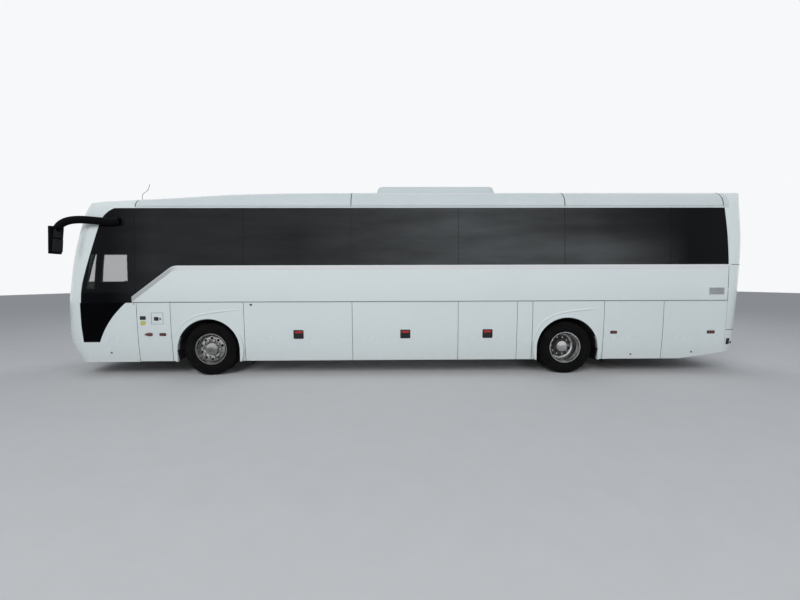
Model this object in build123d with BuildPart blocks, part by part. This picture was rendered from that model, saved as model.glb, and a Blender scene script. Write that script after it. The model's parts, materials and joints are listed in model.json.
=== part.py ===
from build123d import *
from math import asin, cos, degrees, radians, sin, sqrt
import os

# High-deck two-axle coach. Millimetres, origin on the ground under the middle of the coach,
# -X is forward, +X rearward, +Y the coach's right side, +Z up.

# Overall sizes
length = 13280
width = 2550
front_overhang = 2925
wheelbase = 6815
front_x = -length / 2
rear_x = length / 2
half = width / 2
front_axle_x = front_x + front_overhang
rear_axle_x = front_axle_x + wheelbase

# Levels of the body, above the ground
skirt_z = 280
bay_floor_z = 400
deck_z = 1360
waist_z = 1400
belt_z = 2092
cant_z = 3166
shoulder_z = 3490
crown_rise = 45

# Thicknesses and gaps
wall = 50
door_wall = 45
pane = 6
seat_gap = 0.3
panel_gap = 8
side_gap = panel_gap / 2
sheet = 12

# Section of the body side: height, and how far the side is tucked in from the full width
side_rows = [
    (200, 57),
    (skirt_z, 50),
    (560, 26),
    (840, 10),
    (1120, 3),
    (waist_z, 0),
    (belt_z, 3),
    (2630, 27),
    (cant_z, 60),
    (3600, 84),
]

# Front face: height, and how far the face is set back from the foremost point
front_rows = [
    (270, 157),
    (475, 71),
    (695, 6),
    (970, 0),
    (1325, 10),
    (1650, 43),
    (2028, 101),
    (2350, 157),
    (2672, 235),
    (2890, 290),
    (cant_z, 395),
]
nose_rows = [(cant_z, 395), (3290, 480), (3420, 700)]
front_bow = 240
front_corner = 400

# Rear face: height, and how far the face is set forward from the rearmost point
bumper_top = 960
rear_rows = [(bumper_top, 66), (1200, 54), (1484, 36), (1930, 14), (2200, 0), (3000, 0), (cant_z, 8), (3600, 30)]
bumper_rows = [(280, 150), (430, 108), (645, 70), (bumper_top, 70)]
rear_bow = 114
rear_corner = 360
rear_top_radius = 350
rear_run = 600

# Seams of the lower side panels
flap_start_x = front_axle_x - 1326
arch_start_x = front_axle_x - 698
bay_start_x = front_axle_x + 675
bay_1 = 2040
bay_2 = 2010
bay_3 = 1126
bay_2_x = bay_start_x + bay_1
bay_3_x = bay_2_x + bay_2
bay_end_x = bay_3_x + bay_3
rear_arch_start_x = rear_axle_x - 669
rear_arch_end_x = rear_axle_x + 700
rear_flap_1 = 1142
rear_flap_2 = 1216
rear_flap_2_x = rear_arch_end_x + rear_flap_1
rear_seam_x = rear_flap_2_x + rear_flap_2

# Roof: place along the coach, and the height of the rounded edge's shoulder there
roof_front_x = -5040
roof_rows = [
    (roof_front_x, 3358),
    (-4440, 3390),
    (-3370, 3458),
    (-2200, 3485),
    (-1000, shoulder_z),
    (rear_seam_x, shoulder_z),
]
nose_roof_rows = [(-6300, 3235), (-5700, 3320), (roof_front_x, 3358)]
shoulder_in = 250
cove_in = 50
cove_share = 0.676

# Glass band
pane_pitch = 2016
pane_joint = 10
pane_joints = [roof_front_x + pane_pitch * step for step in range(6)]
window_margin = 75
window_low = 60
window_high = 80

# Wheels
tyre_radius = 500
stub_radius = 60
spindle_radius = 40
running_fit = 0.08
tyre_width = 295
bead_radius = 286
flange_radius = 298
rim_width = 230
wheel_inset = 45
twin_gap = 35
arch_radius = 587
lip_width = 64
lip_proud = 6
housing_radius = 618
housing_inner = 520
front_wheel_y = half - wheel_inset - tyre_width / 2
rear_outer_y = front_wheel_y
rear_inner_y = rear_outer_y - tyre_width - twin_gap
kingpin_y = 920

# Passenger doors: doorway ends, top of the doorway and the swing arms
doorway_low = 300
door_gap = 14
front_door_x = (-5270, -4410)
front_door_top = 2740
mid_door_x = (1040, 1800)
mid_door_top = 2330
post_radius = 20
post_in = 50
post_y = half - wall - 90
arm_y = half - door_wall - 60
arm_width = 36
arm_height = 30
swing_out = 150
step_low = 420

# Hinge bead along the top of each lower flap
bead_hinge = 6
hinge_z = waist_z - panel_gap / 2
hinge_clear = 0.5


def between(rows, z):
    for (low, a), (high, b) in zip(rows, rows[1:]):
        if low <= z <= high:
            return a + (b - a) * (z - low) / (high - low)
    return rows[-1][1]


def half_width(z):
    return half - between(side_rows, z)


def levels(low, high):
    inside = [z for z, _ in side_rows if low < z < high]
    return [low] + inside + [high]


def side_strip(x0, x1, low, high, outer, inner, side):
    # A strip of the straight body side between two depths below its outer face
    heights = levels(low, high)
    out_line = [(side * (half_width(z) - outer), z) for z in heights]
    in_line = [(side * (half_width(z) - inner), z) for z in reversed(heights)]
    with BuildPart() as strip:
        with BuildSketch(Plane.YZ.offset(x0)):
            with BuildLine():
                Polyline(*out_line, *in_line, close=True)
            make_face()
        extrude(amount=x1 - x0)
    return strip.part


def side_band(*place):
    add(side_strip(*place))


def plan_cap(rows, tip, way, bow, corner, back, inset, ruled=False):
    # Solid end of the body: plan outlines with a bowed face and rounded corners, lofted upwards
    with BuildPart() as cap:
        for z, setback in sorted(rows):
            w = half_width(z) - inset
            nose = tip - way * (setback + inset)
            edge = nose - way * bow
            with BuildSketch(Plane.XY.offset(z)):
                with BuildLine():
                    Line((back, -w), (edge, -w))
                    ThreePointArc((edge, -w), (nose, 0), (edge, w))
                    Line((edge, w), (back, w))
                    Line((back, w), (back, -w))
                make_face()
                ends = vertices().sort_by(Axis.X)
                fillet(ends[:2] if way < 0 else ends[-2:], corner - inset)
        loft(ruled=ruled)
    return cap.part


def roof_solid(rows, inset):
    with BuildPart() as solid:
        for x, shoulder in rows:
            rise = (shoulder - cant_z) / (shoulder_z - cant_z)
            foot = half_width(cant_z) - inset
            middle = (half_width(cant_z) - cove_in - 0.85 * inset,
                      cant_z + cove_share * (shoulder - cant_z) - 0.53 * inset)
            top = (half - shoulder_in - 0.3 * inset, shoulder - inset)
            ridge = shoulder + crown_rise * max(rise, 0.3) - inset
            with BuildSketch(Plane.YZ.offset(x)):
                with BuildLine():
                    Line((-foot, cant_z), (foot, cant_z))
                    ThreePointArc((foot, cant_z), middle, top)
                    ThreePointArc(top, (0, ridge), (-top[0], top[1]))
                    ThreePointArc((-top[0], top[1]), (-middle[0], middle[1]), (-foot, cant_z))
                make_face()
        loft(ruled=True)
    return solid.part


def front_body(inset):
    back = flap_start_x - side_gap + inset
    low = plan_cap(front_rows, front_x, -1, front_bow, front_corner, back, inset)
    nose = plan_cap(nose_rows, front_x, -1, front_bow, front_corner, roof_front_x + inset, inset)
    rows = [(x + (inset if x == roof_front_x else 0), z) for x, z in nose_roof_rows]
    return low + (nose & roof_solid(rows, inset))


def side_prism(draw, depth=1600):
    # Outline seen from the side, run through the whole width
    with BuildPart() as prism:
        with BuildSketch(Plane.XZ):
            with BuildLine():
                draw()
            make_face()
        extrude(amount=depth, both=True)
    return prism.part


def box_between(x, y, z):
    centre = [(low + high) / 2 for low, high in (x, y, z)]
    size = [high - low for low, high in (x, y, z)]
    return Pos(*centre) * Box(*size, mode=Mode.PRIVATE)


def pillar_edge():
    # Rear edge of the white windscreen pillar, from the waist up to the glass top
    foot, low, knee, top = (-6065, waist_z), (-6018, 1776), (-5702, 2820), (-5409, cant_z)
    ThreePointArc(foot, (-6052, 1590), low)
    ThreePointArc(low, (-5855, 2330), knee)
    ThreePointArc(knee, (-5600, 3030), top)
    return foot, top


def glass_outline():
    foot, top = pillar_edge()
    Polyline(top, (rear_seam_x - 80, cant_z))
    ThreePointArc((rear_seam_x - 80, cant_z), (rear_seam_x - 30, 2650), (rear_seam_x - 5, belt_z))
    Line((rear_seam_x - 5, belt_z), (-4257, belt_z))
    ThreePointArc((-4257, belt_z), (-4336, belt_z - 13), (-4406, belt_z - 49))
    Polyline((-4406, belt_z - 49), (-5120, 1512), (-5120, waist_z), foot)


def wall_outline():
    foot, top = pillar_edge()
    Polyline(top, (rear_seam_x, cant_z), (rear_seam_x, waist_z), foot)


def corner_outline():
    Polyline((-5236, waist_z - 2), (-6067, waist_z - 2), (-6084, 975), (-6067, 655), (-5762, 655))
    ThreePointArc((-5762, 655), (-5560, 1040), (-5236, waist_z - 2))


def bumper_outline():
    back = flap_start_x - side_gap
    Polyline((back, 200), (back, waist_z - 2), (-6067, waist_z - 2), (-6084, 970), (front_x - 50, 970),
             (front_x - 50, 200), (back, 200))


def doorway(ends, top, low=doorway_low - door_gap):
    return box_between(ends, (half - 300, half + 100), (low, top))


front_doorway = doorway(front_door_x, front_door_top)
front_step_gap = doorway((front_door_x[0], front_door_x[1] + 100), front_door_top, 100)
mid_doorway = doorway(mid_door_x, mid_door_top)
outer_front = front_body(0)
shell_front = outer_front - front_body(wall)
glass_face = side_prism(glass_outline)
corner_face = side_prism(corner_outline)
bumper_face = side_prism(bumper_outline)
wall_face = side_prism(wall_outline)

windscreen_low = 1480
windscreen_high = 3110
windscreen_half = 1130


def screen_prism(clear, reach=2000):
    with BuildPart() as prism:
        with BuildSketch(Plane.YZ.offset(front_x - 100)):
            with Locations((0, (windscreen_low + windscreen_high) / 2)):
                RectangleRounded(2 * (windscreen_half + clear), windscreen_high - windscreen_low + 2 * clear,
                                 140 + clear)
        extrude(amount=reach)
    return prism.part


# Front end: one moulding with both windscreen pillars and the front of the roof
with BuildPart() as front_mask:
    add(shell_front)
    add(bumper_face, mode=Mode.SUBTRACT)
    add(wall_face, mode=Mode.SUBTRACT)
    add(box_between((-6084, 0), (-1600, 1600), (100, waist_z)), mode=Mode.SUBTRACT)
    add(box_between((flap_start_x - 200, 0), (-1600, 1600), (100, cant_z)), mode=Mode.SUBTRACT)
    add(screen_prism(seat_gap, 1400), mode=Mode.SUBTRACT)

with BuildPart() as windscreen:
    add(outer_front - front_body(pane + 2))
    add(screen_prism(0, 1400), mode=Mode.INTERSECT)

# Headlamp windows in the bumper, one each side
lamp_y = 900
lamp_z = 760
lamp_width = 420
lamp_height = 190


def lamp_prism(clear):
    with BuildPart() as prism:
        with BuildSketch(Plane.YZ.offset(front_x - 100)):
            with Locations((-lamp_y, lamp_z), (lamp_y, lamp_z)):
                RectangleRounded(lamp_width + 2 * clear, lamp_height + 2 * clear, 60)
        extrude(amount=600)
    return prism.part


with BuildPart() as front_bumper:
    add(shell_front)
    add(bumper_face, mode=Mode.INTERSECT)
    add(corner_face, mode=Mode.SUBTRACT)
    add(front_step_gap, mode=Mode.SUBTRACT)
    add(lamp_prism(seat_gap), mode=Mode.SUBTRACT)

with BuildPart() as head_lamps:
    add(shell_front)
    add(lamp_prism(0), mode=Mode.INTERSECT)

with BuildPart() as corner_panels:
    add(shell_front)
    add(corner_face, mode=Mode.INTERSECT)
    add(front_doorway, mode=Mode.SUBTRACT)


# Side walls: pillars and cant rail behind the glass band, full thickness below it
def window_holes(joints):
    with BuildPart() as holes:
        for start, end in zip(joints, joints[1:]):
            low_corner, high_corner = start + window_margin, end - window_margin
            with BuildSketch(Plane.XZ):
                with Locations(((low_corner + high_corner) / 2, (belt_z + window_low + cant_z - window_high) / 2)):
                    RectangleRounded(high_corner - low_corner, cant_z - window_high - belt_z - window_low, 60)
            extrude(amount=1600, both=True)
        with BuildSketch(Plane.XZ):
            with BuildLine():
                Polyline((-5680, 1800), (-5590, 2760), (-5300, 2960), (-5146, 2960), (-5166, 1800), close=True)
            make_face()
            with BuildLine():
                Polyline((-5940, 1800), (-5770, 2400), (-5690, 2400), (-5780, 1800), close=True)
            make_face()
        extrude(amount=1600, both=True)
    return holes.part


rear_pane_end = rear_seam_x - 90
window_joints = pane_joints + [rear_pane_end]
window_cut = window_holes(window_joints)


def hinge_groove(x0, x1, side):
    line = Pos((x0 + x1) / 2, side * (half + 1), hinge_z) * Rot(0, 90, 0)
    return line * Cylinder(bead_hinge + hinge_clear, x1 - x0, mode=Mode.PRIVATE)


walls = {}
for name, side in (("wall_left", -1), ("wall_right", 1)):
    glass_pocket = side_strip(-6300, rear_seam_x, waist_z, cant_z, -20, pane + seat_gap, side) & glass_face
    with BuildPart() as body_wall:
        side_band(-6100, rear_seam_x, waist_z, cant_z, 0, wall, side)
        add(wall_face, mode=Mode.INTERSECT)
        add(glass_pocket, mode=Mode.SUBTRACT)
        add(window_cut, mode=Mode.SUBTRACT)
        if side > 0:
            add(front_doorway, mode=Mode.SUBTRACT)
            add(mid_doorway, mode=Mode.SUBTRACT)
        add(hinge_groove(flap_start_x, rear_seam_x, side), mode=Mode.SUBTRACT)
    walls[name] = body_wall

glazing = {}
for name, side in (("side_glass_left", -1), ("side_glass_right", 1)):
    with BuildPart() as band:
        side_band(-6100, rear_seam_x, waist_z, cant_z, 0, pane, side)
        add(glass_face, mode=Mode.INTERSECT)
        for joint in pane_joints:
            add(box_between((joint - pane_joint / 2, joint + pane_joint / 2), (-1600, 1600), (1300, 3300)),
                mode=Mode.SUBTRACT)
        if side > 0:
            add(front_doorway, mode=Mode.SUBTRACT)
            add(mid_doorway, mode=Mode.SUBTRACT)
    glazing[name] = band

# Roof skin behind the front moulding
roof_outer = roof_solid(roof_rows, 0)
roof_inner = roof_solid([(roof_rows[0][0] - 1, roof_rows[0][1])] + roof_rows[1:-1]
                        + [(roof_rows[-1][0] + 1, roof_rows[-1][1])], wall)
with BuildPart() as roof_shell:
    add(roof_outer)
    add(roof_inner, mode=Mode.SUBTRACT)

# Roof air unit on the centre line, and two low hatches
unit_x = (-600, 1900)
unit_half = 780
unit_height = 170
roof_top = shoulder_z + crown_rise
hatch_places = (-2600, 4300)
hatch_size = 700
with BuildPart() as roof_unit:
    with BuildSketch(Plane.XY.offset(roof_top - 30)):
        with Locations(((unit_x[0] + unit_x[1]) / 2, 0)):
            RectangleRounded(unit_x[1] - unit_x[0], 2 * unit_half, 200)
    extrude(amount=unit_height + 30, taper=22)
    fillet(faces().sort_by(Axis.Z)[-1].edges(), 40)
    for place in hatch_places:
        with BuildSketch(Plane.XY.offset(roof_top - 30)):
            with Locations((place, 0)):
                RectangleRounded(hatch_size, hatch_size, 70)
        extrude(amount=80, taper=12)
    add(roof_outer, mode=Mode.SUBTRACT)

# Rear end
rear_back = rear_seam_x


def rear_body(inset):
    face = plan_cap(rear_rows, rear_x, 1, rear_bow, rear_corner, rear_back - rear_run, inset)
    roof = roof_solid([(rear_back - inset, shoulder_z), (rear_x + 100, shoulder_z)], inset)
    below = box_between((rear_back - inset, rear_x + 100), (-half - 100, half + 100), (bumper_top - 50, cant_z))
    edge = rear_x - 8 - inset
    peak = roof_top - inset
    bend = rear_top_radius

    def rounded_end():
        Line((rear_back - inset, 900), (rear_back - inset, peak))
        Line((rear_back - inset, peak), (edge - bend, peak))
        ThreePointArc((edge - bend, peak), (edge - bend + bend * sin(radians(45)),
                      peak - bend + bend * cos(radians(45))), (edge, peak - bend))
        Polyline((edge, peak - bend), (rear_x + 60, 2800), (rear_x + 60, 900), (rear_back - inset, 900))

    return (face & (roof + below)) & side_prism(rounded_end)


lid_half = 860
lid_low = 1010
lid_high = 1880
rear_window_half = 980
rear_window_low = 2150
rear_window_high = 3080
tail_y = 1010
tail_z = 1450
tail_size = (150, 620)


def rear_prism(half_w, low, high, corner, clear, y=0):
    with BuildPart() as prism:
        with BuildSketch(Plane.YZ.offset(rear_x - 330)):
            with Locations((y, (low + high) / 2)):
                RectangleRounded(2 * (half_w + clear), high - low + 2 * clear, corner)
        extrude(amount=500)
    return prism.part


outer_rear = rear_body(0)
shell_rear = outer_rear - rear_body(wall)
window_args = (rear_window_half, rear_window_low, rear_window_high, 90)
tail_args = (tail_size[0] / 2, tail_z - tail_size[1] / 2, tail_z + tail_size[1] / 2, 40)
lid_gap = 22
lid_axis = (rear_x - 97, lid_high + 180)
lid_arm_width = 16
lid_arm_y = 500
lid_pin = 6
lid_neck = ((0, 0), (-175, -30), (-170, -150), (34, -240))


def pin_along_y(x, y, z, radius, reach):
    return Pos(x, y, z) * Rot(90, 0, 0) * Cylinder(radius, reach, mode=Mode.PRIVATE)


with BuildPart() as rear_wall:
    add(shell_rear)
    add(rear_prism(*window_args, seat_gap), mode=Mode.SUBTRACT)
    add(rear_prism(lid_half, lid_low, lid_high, 30, lid_gap), mode=Mode.SUBTRACT)
    for side in (-1, 1):
        add(rear_prism(*tail_args, seat_gap, side * tail_y), mode=Mode.SUBTRACT)
    for y in (-lid_arm_y, lid_arm_y):
        for step in (-1, 1):
            cheek = y + step * (lid_arm_width / 2 + 7)
            add(box_between((lid_axis[0] - 14, lid_axis[0] + 34), (cheek - 5, cheek + 5),
                            (lid_axis[1] - 14, lid_axis[1] + 14)))
        add(pin_along_y(lid_axis[0], y, lid_axis[1], lid_pin, lid_arm_width + 20))

with BuildPart() as rear_window:
    add(outer_rear - rear_body(pane + 2))
    add(rear_prism(*window_args, 0), mode=Mode.INTERSECT)

with BuildPart() as tail_lamps:
    add(shell_rear)
    add(rear_prism(*tail_args, 0, -tail_y) + rear_prism(*tail_args, 0, tail_y), mode=Mode.INTERSECT)

with BuildPart() as engine_lid:
    add(outer_rear - rear_body(door_wall))
    add(rear_prism(lid_half, lid_low, lid_high, 30, 0), mode=Mode.INTERSECT)
    for y in (-lid_arm_y, lid_arm_y):
        with BuildSketch(Plane.XZ.offset(-(y + lid_arm_width / 2))):
            with BuildLine() as neck:
                FilletPolyline(*[(lid_axis[0] + x, lid_axis[1] + z) for x, z in lid_neck], radius=35)
            trace(neck.line, lid_arm_width)
            with Locations(lid_axis):
                Circle(15)
        extrude(amount=lid_arm_width)
        add(pin_along_y(lid_axis[0], y, lid_axis[1], lid_pin + running_fit, 60), mode=Mode.SUBTRACT)

def rise_outline():
    # The lower edge sweeps up behind the rear wheels
    Polyline((5300, 200), (5300, skirt_z), (6165, 408), (rear_x + 60, 470), (rear_x + 60, 200), (5300, 200))


skirt_rise = side_prism(rise_outline)

with BuildPart() as rear_bumper:
    add(plan_cap(bumper_rows, rear_x, 1, rear_bow, rear_corner, rear_back - rear_run, 0, True))
    add(plan_cap([(z - 1 if z == 280 else z + (1 if z == bumper_top else 0), s) for z, s in bumper_rows],
                 rear_x, 1, rear_bow, rear_corner, rear_back - rear_run, wall, True), mode=Mode.SUBTRACT)
    add(box_between((rear_back - rear_run - 10, rear_back), (-1600, 1600), (100, bumper_top + 100)), mode=Mode.SUBTRACT)
    add(skirt_rise, mode=Mode.SUBTRACT)

# Fixed lower panels with the wheel arches
skirts = {}
arch_panels = ((arch_start_x, bay_start_x, front_axle_x), (rear_arch_start_x, rear_arch_end_x, rear_axle_x))
for name, side in (("skirt_left", -1), ("skirt_right", 1)):
    with BuildPart() as skirt:
        for start, end, axle in arch_panels:
            side_band(start + side_gap, end - side_gap, skirt_z, waist_z, 0, wall, side)
            ring = Pos(axle, side * (half - 20), tyre_radius) * Rot(90, 0, 0)
            lip = ring * Cylinder(arch_radius + lip_width, 40 + 2 * lip_proud, mode=Mode.PRIVATE)
            add(lip & box_between((start + side_gap, end - side_gap), (-1600, 1600), (skirt_z, waist_z)))
        if side < 0:
            side_band(bay_end_x + side_gap, rear_arch_start_x - side_gap, skirt_z, waist_z, 0, wall, side)
        else:
            side_band(mid_door_x[1] + side_gap, rear_arch_start_x - side_gap, skirt_z, waist_z, 0, wall, side)
            side_band(rear_flap_2_x + side_gap, rear_seam_x - side_gap, skirt_z, waist_z, 0, wall, side)
        for _, _, axle in arch_panels:
            opening = Pos(axle, side * half, tyre_radius) * Rot(90, 0, 0) * Cylinder(arch_radius, 300, mode=Mode.PRIVATE)
            add(opening, mode=Mode.SUBTRACT)
            add(box_between((axle - arch_radius, axle + arch_radius), sorted((side * (half - 150), side * (half + 60))),
                            (100, tyre_radius)), mode=Mode.SUBTRACT)
        if side > 0:
            add(skirt_rise, mode=Mode.SUBTRACT)
    skirts[name] = skirt

# Lower doors and flaps, each hung on a bead along its top edge
handle_z = 786
handle_size = (176, 153)
handle_depth = 14


def lower_flap(x0, x1, side, handle=True):
    start, end = x0 + side_gap, x1 - side_gap
    with BuildPart() as flap:
        side_band(start, end, skirt_z, waist_z - panel_gap, 0, door_wall, side)
        if end > rear_flap_2_x:
            add(skirt_rise, mode=Mode.SUBTRACT)
        line = Pos((start + end) / 2, side * (half + 1), hinge_z) * Rot(0, 90, 0)
        add(line * Cylinder(bead_hinge, end - start, mode=Mode.PRIVATE))
        if handle:
            y = side * half_width(handle_z)
            pocket = box_between(((start + end - handle_size[0]) / 2, (start + end + handle_size[0]) / 2),
                                 (y - handle_depth, y + handle_depth),
                                 (handle_z - handle_size[1] / 2, handle_z + handle_size[1] / 2))
            add(pocket, mode=Mode.SUBTRACT)
            grip = box_between(((start + end) / 2 - 70, (start + end) / 2 + 70),
                               (y - handle_depth - 2, y + handle_depth + 2), (handle_z - 8, handle_z + 22))
            add(grip & side_strip(start, end, 600, 1000, 2, 30, side))
    return flap


flaps = {
    "luggage_door_left_front": lower_flap(bay_start_x, bay_2_x, -1),
    "luggage_door_left_middle": lower_flap(bay_2_x, bay_3_x, -1),
    "luggage_door_left_rear": lower_flap(bay_3_x, bay_end_x, -1),
    "luggage_door_right_front": lower_flap(bay_start_x, bay_2_x, 1),
    "luggage_door_right_rear": lower_flap(bay_2_x, bay_3_x, 1),
    "service_flap_left": lower_flap(flap_start_x, arch_start_x, -1, handle=False),
    "rear_flap_left_front": lower_flap(rear_arch_end_x, rear_flap_2_x, -1, handle=False),
    "rear_flap_left_rear": lower_flap(rear_flap_2_x, rear_seam_x, -1, handle=False),
    "rear_flap_right": lower_flap(rear_arch_end_x, rear_flap_2_x, 1, handle=False),
}

# Fuel filler lid in a pocket of the front service flap
filler_x = (-4784, -4556)
filler_z = (999, 1206)
filler_plate = 8
filler_axis = (filler_x[0] + 4, -(half_width(sum(filler_z) / 2) + 4))
with BuildPart() as service_flap:
    add(flaps["service_flap_left"].part)
    add(side_strip(filler_x[0] - 5, filler_x[1] + 5, filler_z[0] - 5, filler_z[1] + 5, -20, filler_plate + 6, -1),
        mode=Mode.SUBTRACT)
    for z in (filler_z[0] - 5 + 12, filler_z[1] + 5 - 12):
        add(box_between((filler_x[0] - 5, filler_x[0] + 10), (-half_width(1100) - 8, -half_width(1100) + 14),
                        (z - 12, z + 12)) - Pos(filler_axis[0], filler_axis[1], z) * Cylinder(3.1, 60, mode=Mode.PRIVATE))
flaps["service_flap_left"] = service_flap
with BuildPart() as filler_lid:
    side_band(filler_x[0] + 12, filler_x[1], filler_z[0], filler_z[1], 0, filler_plate, -1)
    add(box_between((filler_axis[0] - 4, filler_x[0] + 20), (filler_axis[1] - 4, filler_axis[1] + 9),
                    (filler_z[0] + 24, filler_z[1] - 24)))
    with Locations((filler_axis[0], filler_axis[1], sum(filler_z) / 2)):
        Cylinder(3, filler_z[1] - filler_z[0] + 4)


# Swing doors on the right side
def swing_angles(reach):
    span = sqrt(reach ** 2 + (arm_y - post_y) ** 2)
    closed = degrees(asin((arm_y - post_y) / span))
    opened = 180 - degrees(asin((arm_y - post_y + swing_out) / span))
    return span, closed, opened


def door_post(post_x, way, reach, low, high, arm_levels):
    # Turning post with two cranked arms; way is +1 where the leaf lies rearward of the post
    span, closed, opened = swing_angles(reach)
    turn = radians(-(opened - closed))
    open_path = [(8, 0), (6, 151), (-110, 183), (span * cos(radians(opened)), span * sin(radians(opened)))]
    path = [(post_x + way * (x * cos(turn) - y * sin(turn)), post_y + x * sin(turn) + y * cos(turn))
            for x, y in open_path]
    with BuildPart() as post:
        with Locations((post_x, post_y, (low + high) / 2)):
            Cylinder(post_radius, high - low)
        for level in arm_levels:
            with BuildSketch(Plane.XY.offset(level - arm_height / 2)):
                with BuildLine() as centre_line:
                    FilletPolyline(*path, radius=45)
                trace(centre_line.line, arm_width)
                with Locations(path[-1]):
                    Circle(arm_width / 2)
            extrude(amount=arm_height)
        with Locations(*[(*path[-1], level) for level in arm_levels]):
            Cylinder(10.05, arm_height + 2, mode=Mode.SUBTRACT)
    return post, path[-1]


def door_leaf(ends, top, glass_low, pin, arm_levels):
    start, end = ends[0] + door_gap, ends[1] - door_gap
    low, high = doorway_low, top - door_gap
    frame = 70
    with BuildPart() as cut:
        with BuildSketch(Plane.XZ):
            with Locations(((start + end) / 2, (glass_low + high - frame) / 2)):
                RectangleRounded(end - start - 2 * frame, high - frame - glass_low, 60)
        extrude(amount=-1600)
    with BuildPart() as leaf:
        side_band(start, end, low, high, 0, door_wall, 1)
        add(cut.part, mode=Mode.SUBTRACT)
        for level in arm_levels:
            for step in (-1, 1):
                z = level + step * (arm_height / 2 + 5 + 6)
                inner_face = half_width(level) - door_wall
                add(box_between((pin[0] - 18, pin[0] + 18), (pin[1] - 18, inner_face + 8), (z - 6, z + 6)))
            with Locations((*pin, level)):
                Cylinder(10, arm_height + 22)
    glass_cut = side_strip(start, end, low, high, 4, 4 + pane, 1) & cut.part
    return leaf, glass_cut


front_arms = (600, 1130)
mid_arms = (600, 1330)
front_reach = 420
mid_reach = 360
front_post_x = front_door_x[0] + post_in
mid_post_x = mid_door_x[1] - post_in
front_door_post, front_pin = door_post(front_post_x, 1, front_reach, step_low + seat_gap, front_door_top - 60, front_arms)
mid_door_post, mid_pin = door_post(mid_post_x, -1, mid_reach, step_low + seat_gap, mid_door_top - 60, mid_arms)
front_door, front_glass = door_leaf(front_door_x, front_door_top, 1250, front_pin, front_arms)
mid_door, mid_glass = door_leaf(mid_door_x, mid_door_top, 1450, mid_pin, mid_arms)
with BuildPart() as front_door_glass:
    add(front_glass)
with BuildPart() as mid_door_glass:
    add(mid_glass)

# Underframe: rails, outriggers, door pillars, towing brackets and jacking plates
rail_y = 420
rail_width = 80
rail_low = 620
rail_high = 820
frame_front = front_x + 420
frame_rear = rear_x - 280
tow_pin_radius = 21
tow_z = 525
pillar_depth = 40
left_pillars = (arch_start_x, bay_start_x, bay_2_x, bay_3_x, bay_end_x, rear_arch_start_x, rear_arch_end_x,
                rear_flap_2_x, rear_seam_x - 30)
right_pillars = (arch_start_x + 68, bay_start_x, bay_2_x, bay_3_x, mid_door_x[1] + 45, rear_arch_start_x,
                 rear_arch_end_x, rear_flap_2_x, rear_seam_x - 30)
with BuildPart() as underframe:
    for start, end in ((frame_front, bay_start_x - 10 - sheet), (rear_arch_start_x + 10 + sheet, frame_rear)):
        for side in (-1, 1):
            add(box_between((start, end), sorted((side * (rail_y - rail_width / 2), side * (rail_y + rail_width / 2))),
                            (rail_low, rail_high)))
        for x in (start + 40, (start + end) / 2 - 160, end - 60):
            add(box_between((x - 40, x + 40), (-rail_y, rail_y), (rail_low + 30, rail_high - 30)))
    for side, pillars in ((-1, left_pillars), (1, right_pillars)):
        for x in pillars:
            outer = half - 52
            add(box_between((x - 25, x + 25), sorted((side * (half - 52 - pillar_depth), side * (half - 52))),
                            (bay_floor_z if bay_start_x - 1 < x < rear_arch_start_x + 1 else 420, deck_z))
                - side_strip(x - 60, x + 60, 300, deck_z + 20, -50, wall + seat_gap, side))
            if not bay_start_x - 1 < x < rear_arch_start_x + 1:
                add(box_between((x - 25, x + 25), sorted((side * rail_y, side * (half - 88))), (660, 740)))
    for x, way in ((frame_front, -1), (frame_rear, 1)):
        for side in (-1, 1):
            add(box_between(sorted((x - way * 120, x)), (side * rail_y - 25, side * rail_y + 25), (tow_z, rail_low + 10)))
            add(box_between(sorted((x - way * 120, x + way * 105)), (side * rail_y - 45, side * rail_y + 45),
                            (tow_z - 25, tow_z + 25)))
            tow_hole = Pos(x + way * 60, side * rail_y, tow_z) * Cylinder(tow_pin_radius, 200, mode=Mode.PRIVATE)
            add(tow_hole, mode=Mode.SUBTRACT)
    for x in (front_axle_x - 720, rear_axle_x + 740):
        for side in (-1, 1):
            add(box_between((x - 70, x + 70), sorted((side * (rail_y - 70), side * (rail_y + 38))),
                            (rail_low - 24, rail_low + 1)))

# Luggage bay: floor, cross walls and the long wall beside the rear stairwell
with BuildPart() as luggage_bay:
    bay_half = half_width(bay_floor_z) - wall - 4
    add(box_between((bay_start_x - 25, rear_arch_start_x + 25), (-bay_half, bay_half), (bay_floor_z - 30, bay_floor_z)))
    for x in (bay_start_x - 10, bay_2_x, bay_3_x, rear_arch_start_x + 10):
        add(box_between((x - sheet, x + sheet), (-bay_half + 45, bay_half - 45), (bay_floor_z - 1, deck_z)))
    add(box_between((bay_3_x, rear_arch_start_x + 10), (470 - sheet, 470 + sheet), (bay_floor_z - 1, deck_z)))
    add(box_between((mid_door_x[0] - 40, mid_door_x[1] + 50), (470, half + 10), (300, deck_z + 1)), mode=Mode.SUBTRACT)
    add(box_between((bay_3_x, rear_arch_start_x + 10), (470 - sheet, 470 + sheet), (bay_floor_z - 1, deck_z)))

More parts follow.
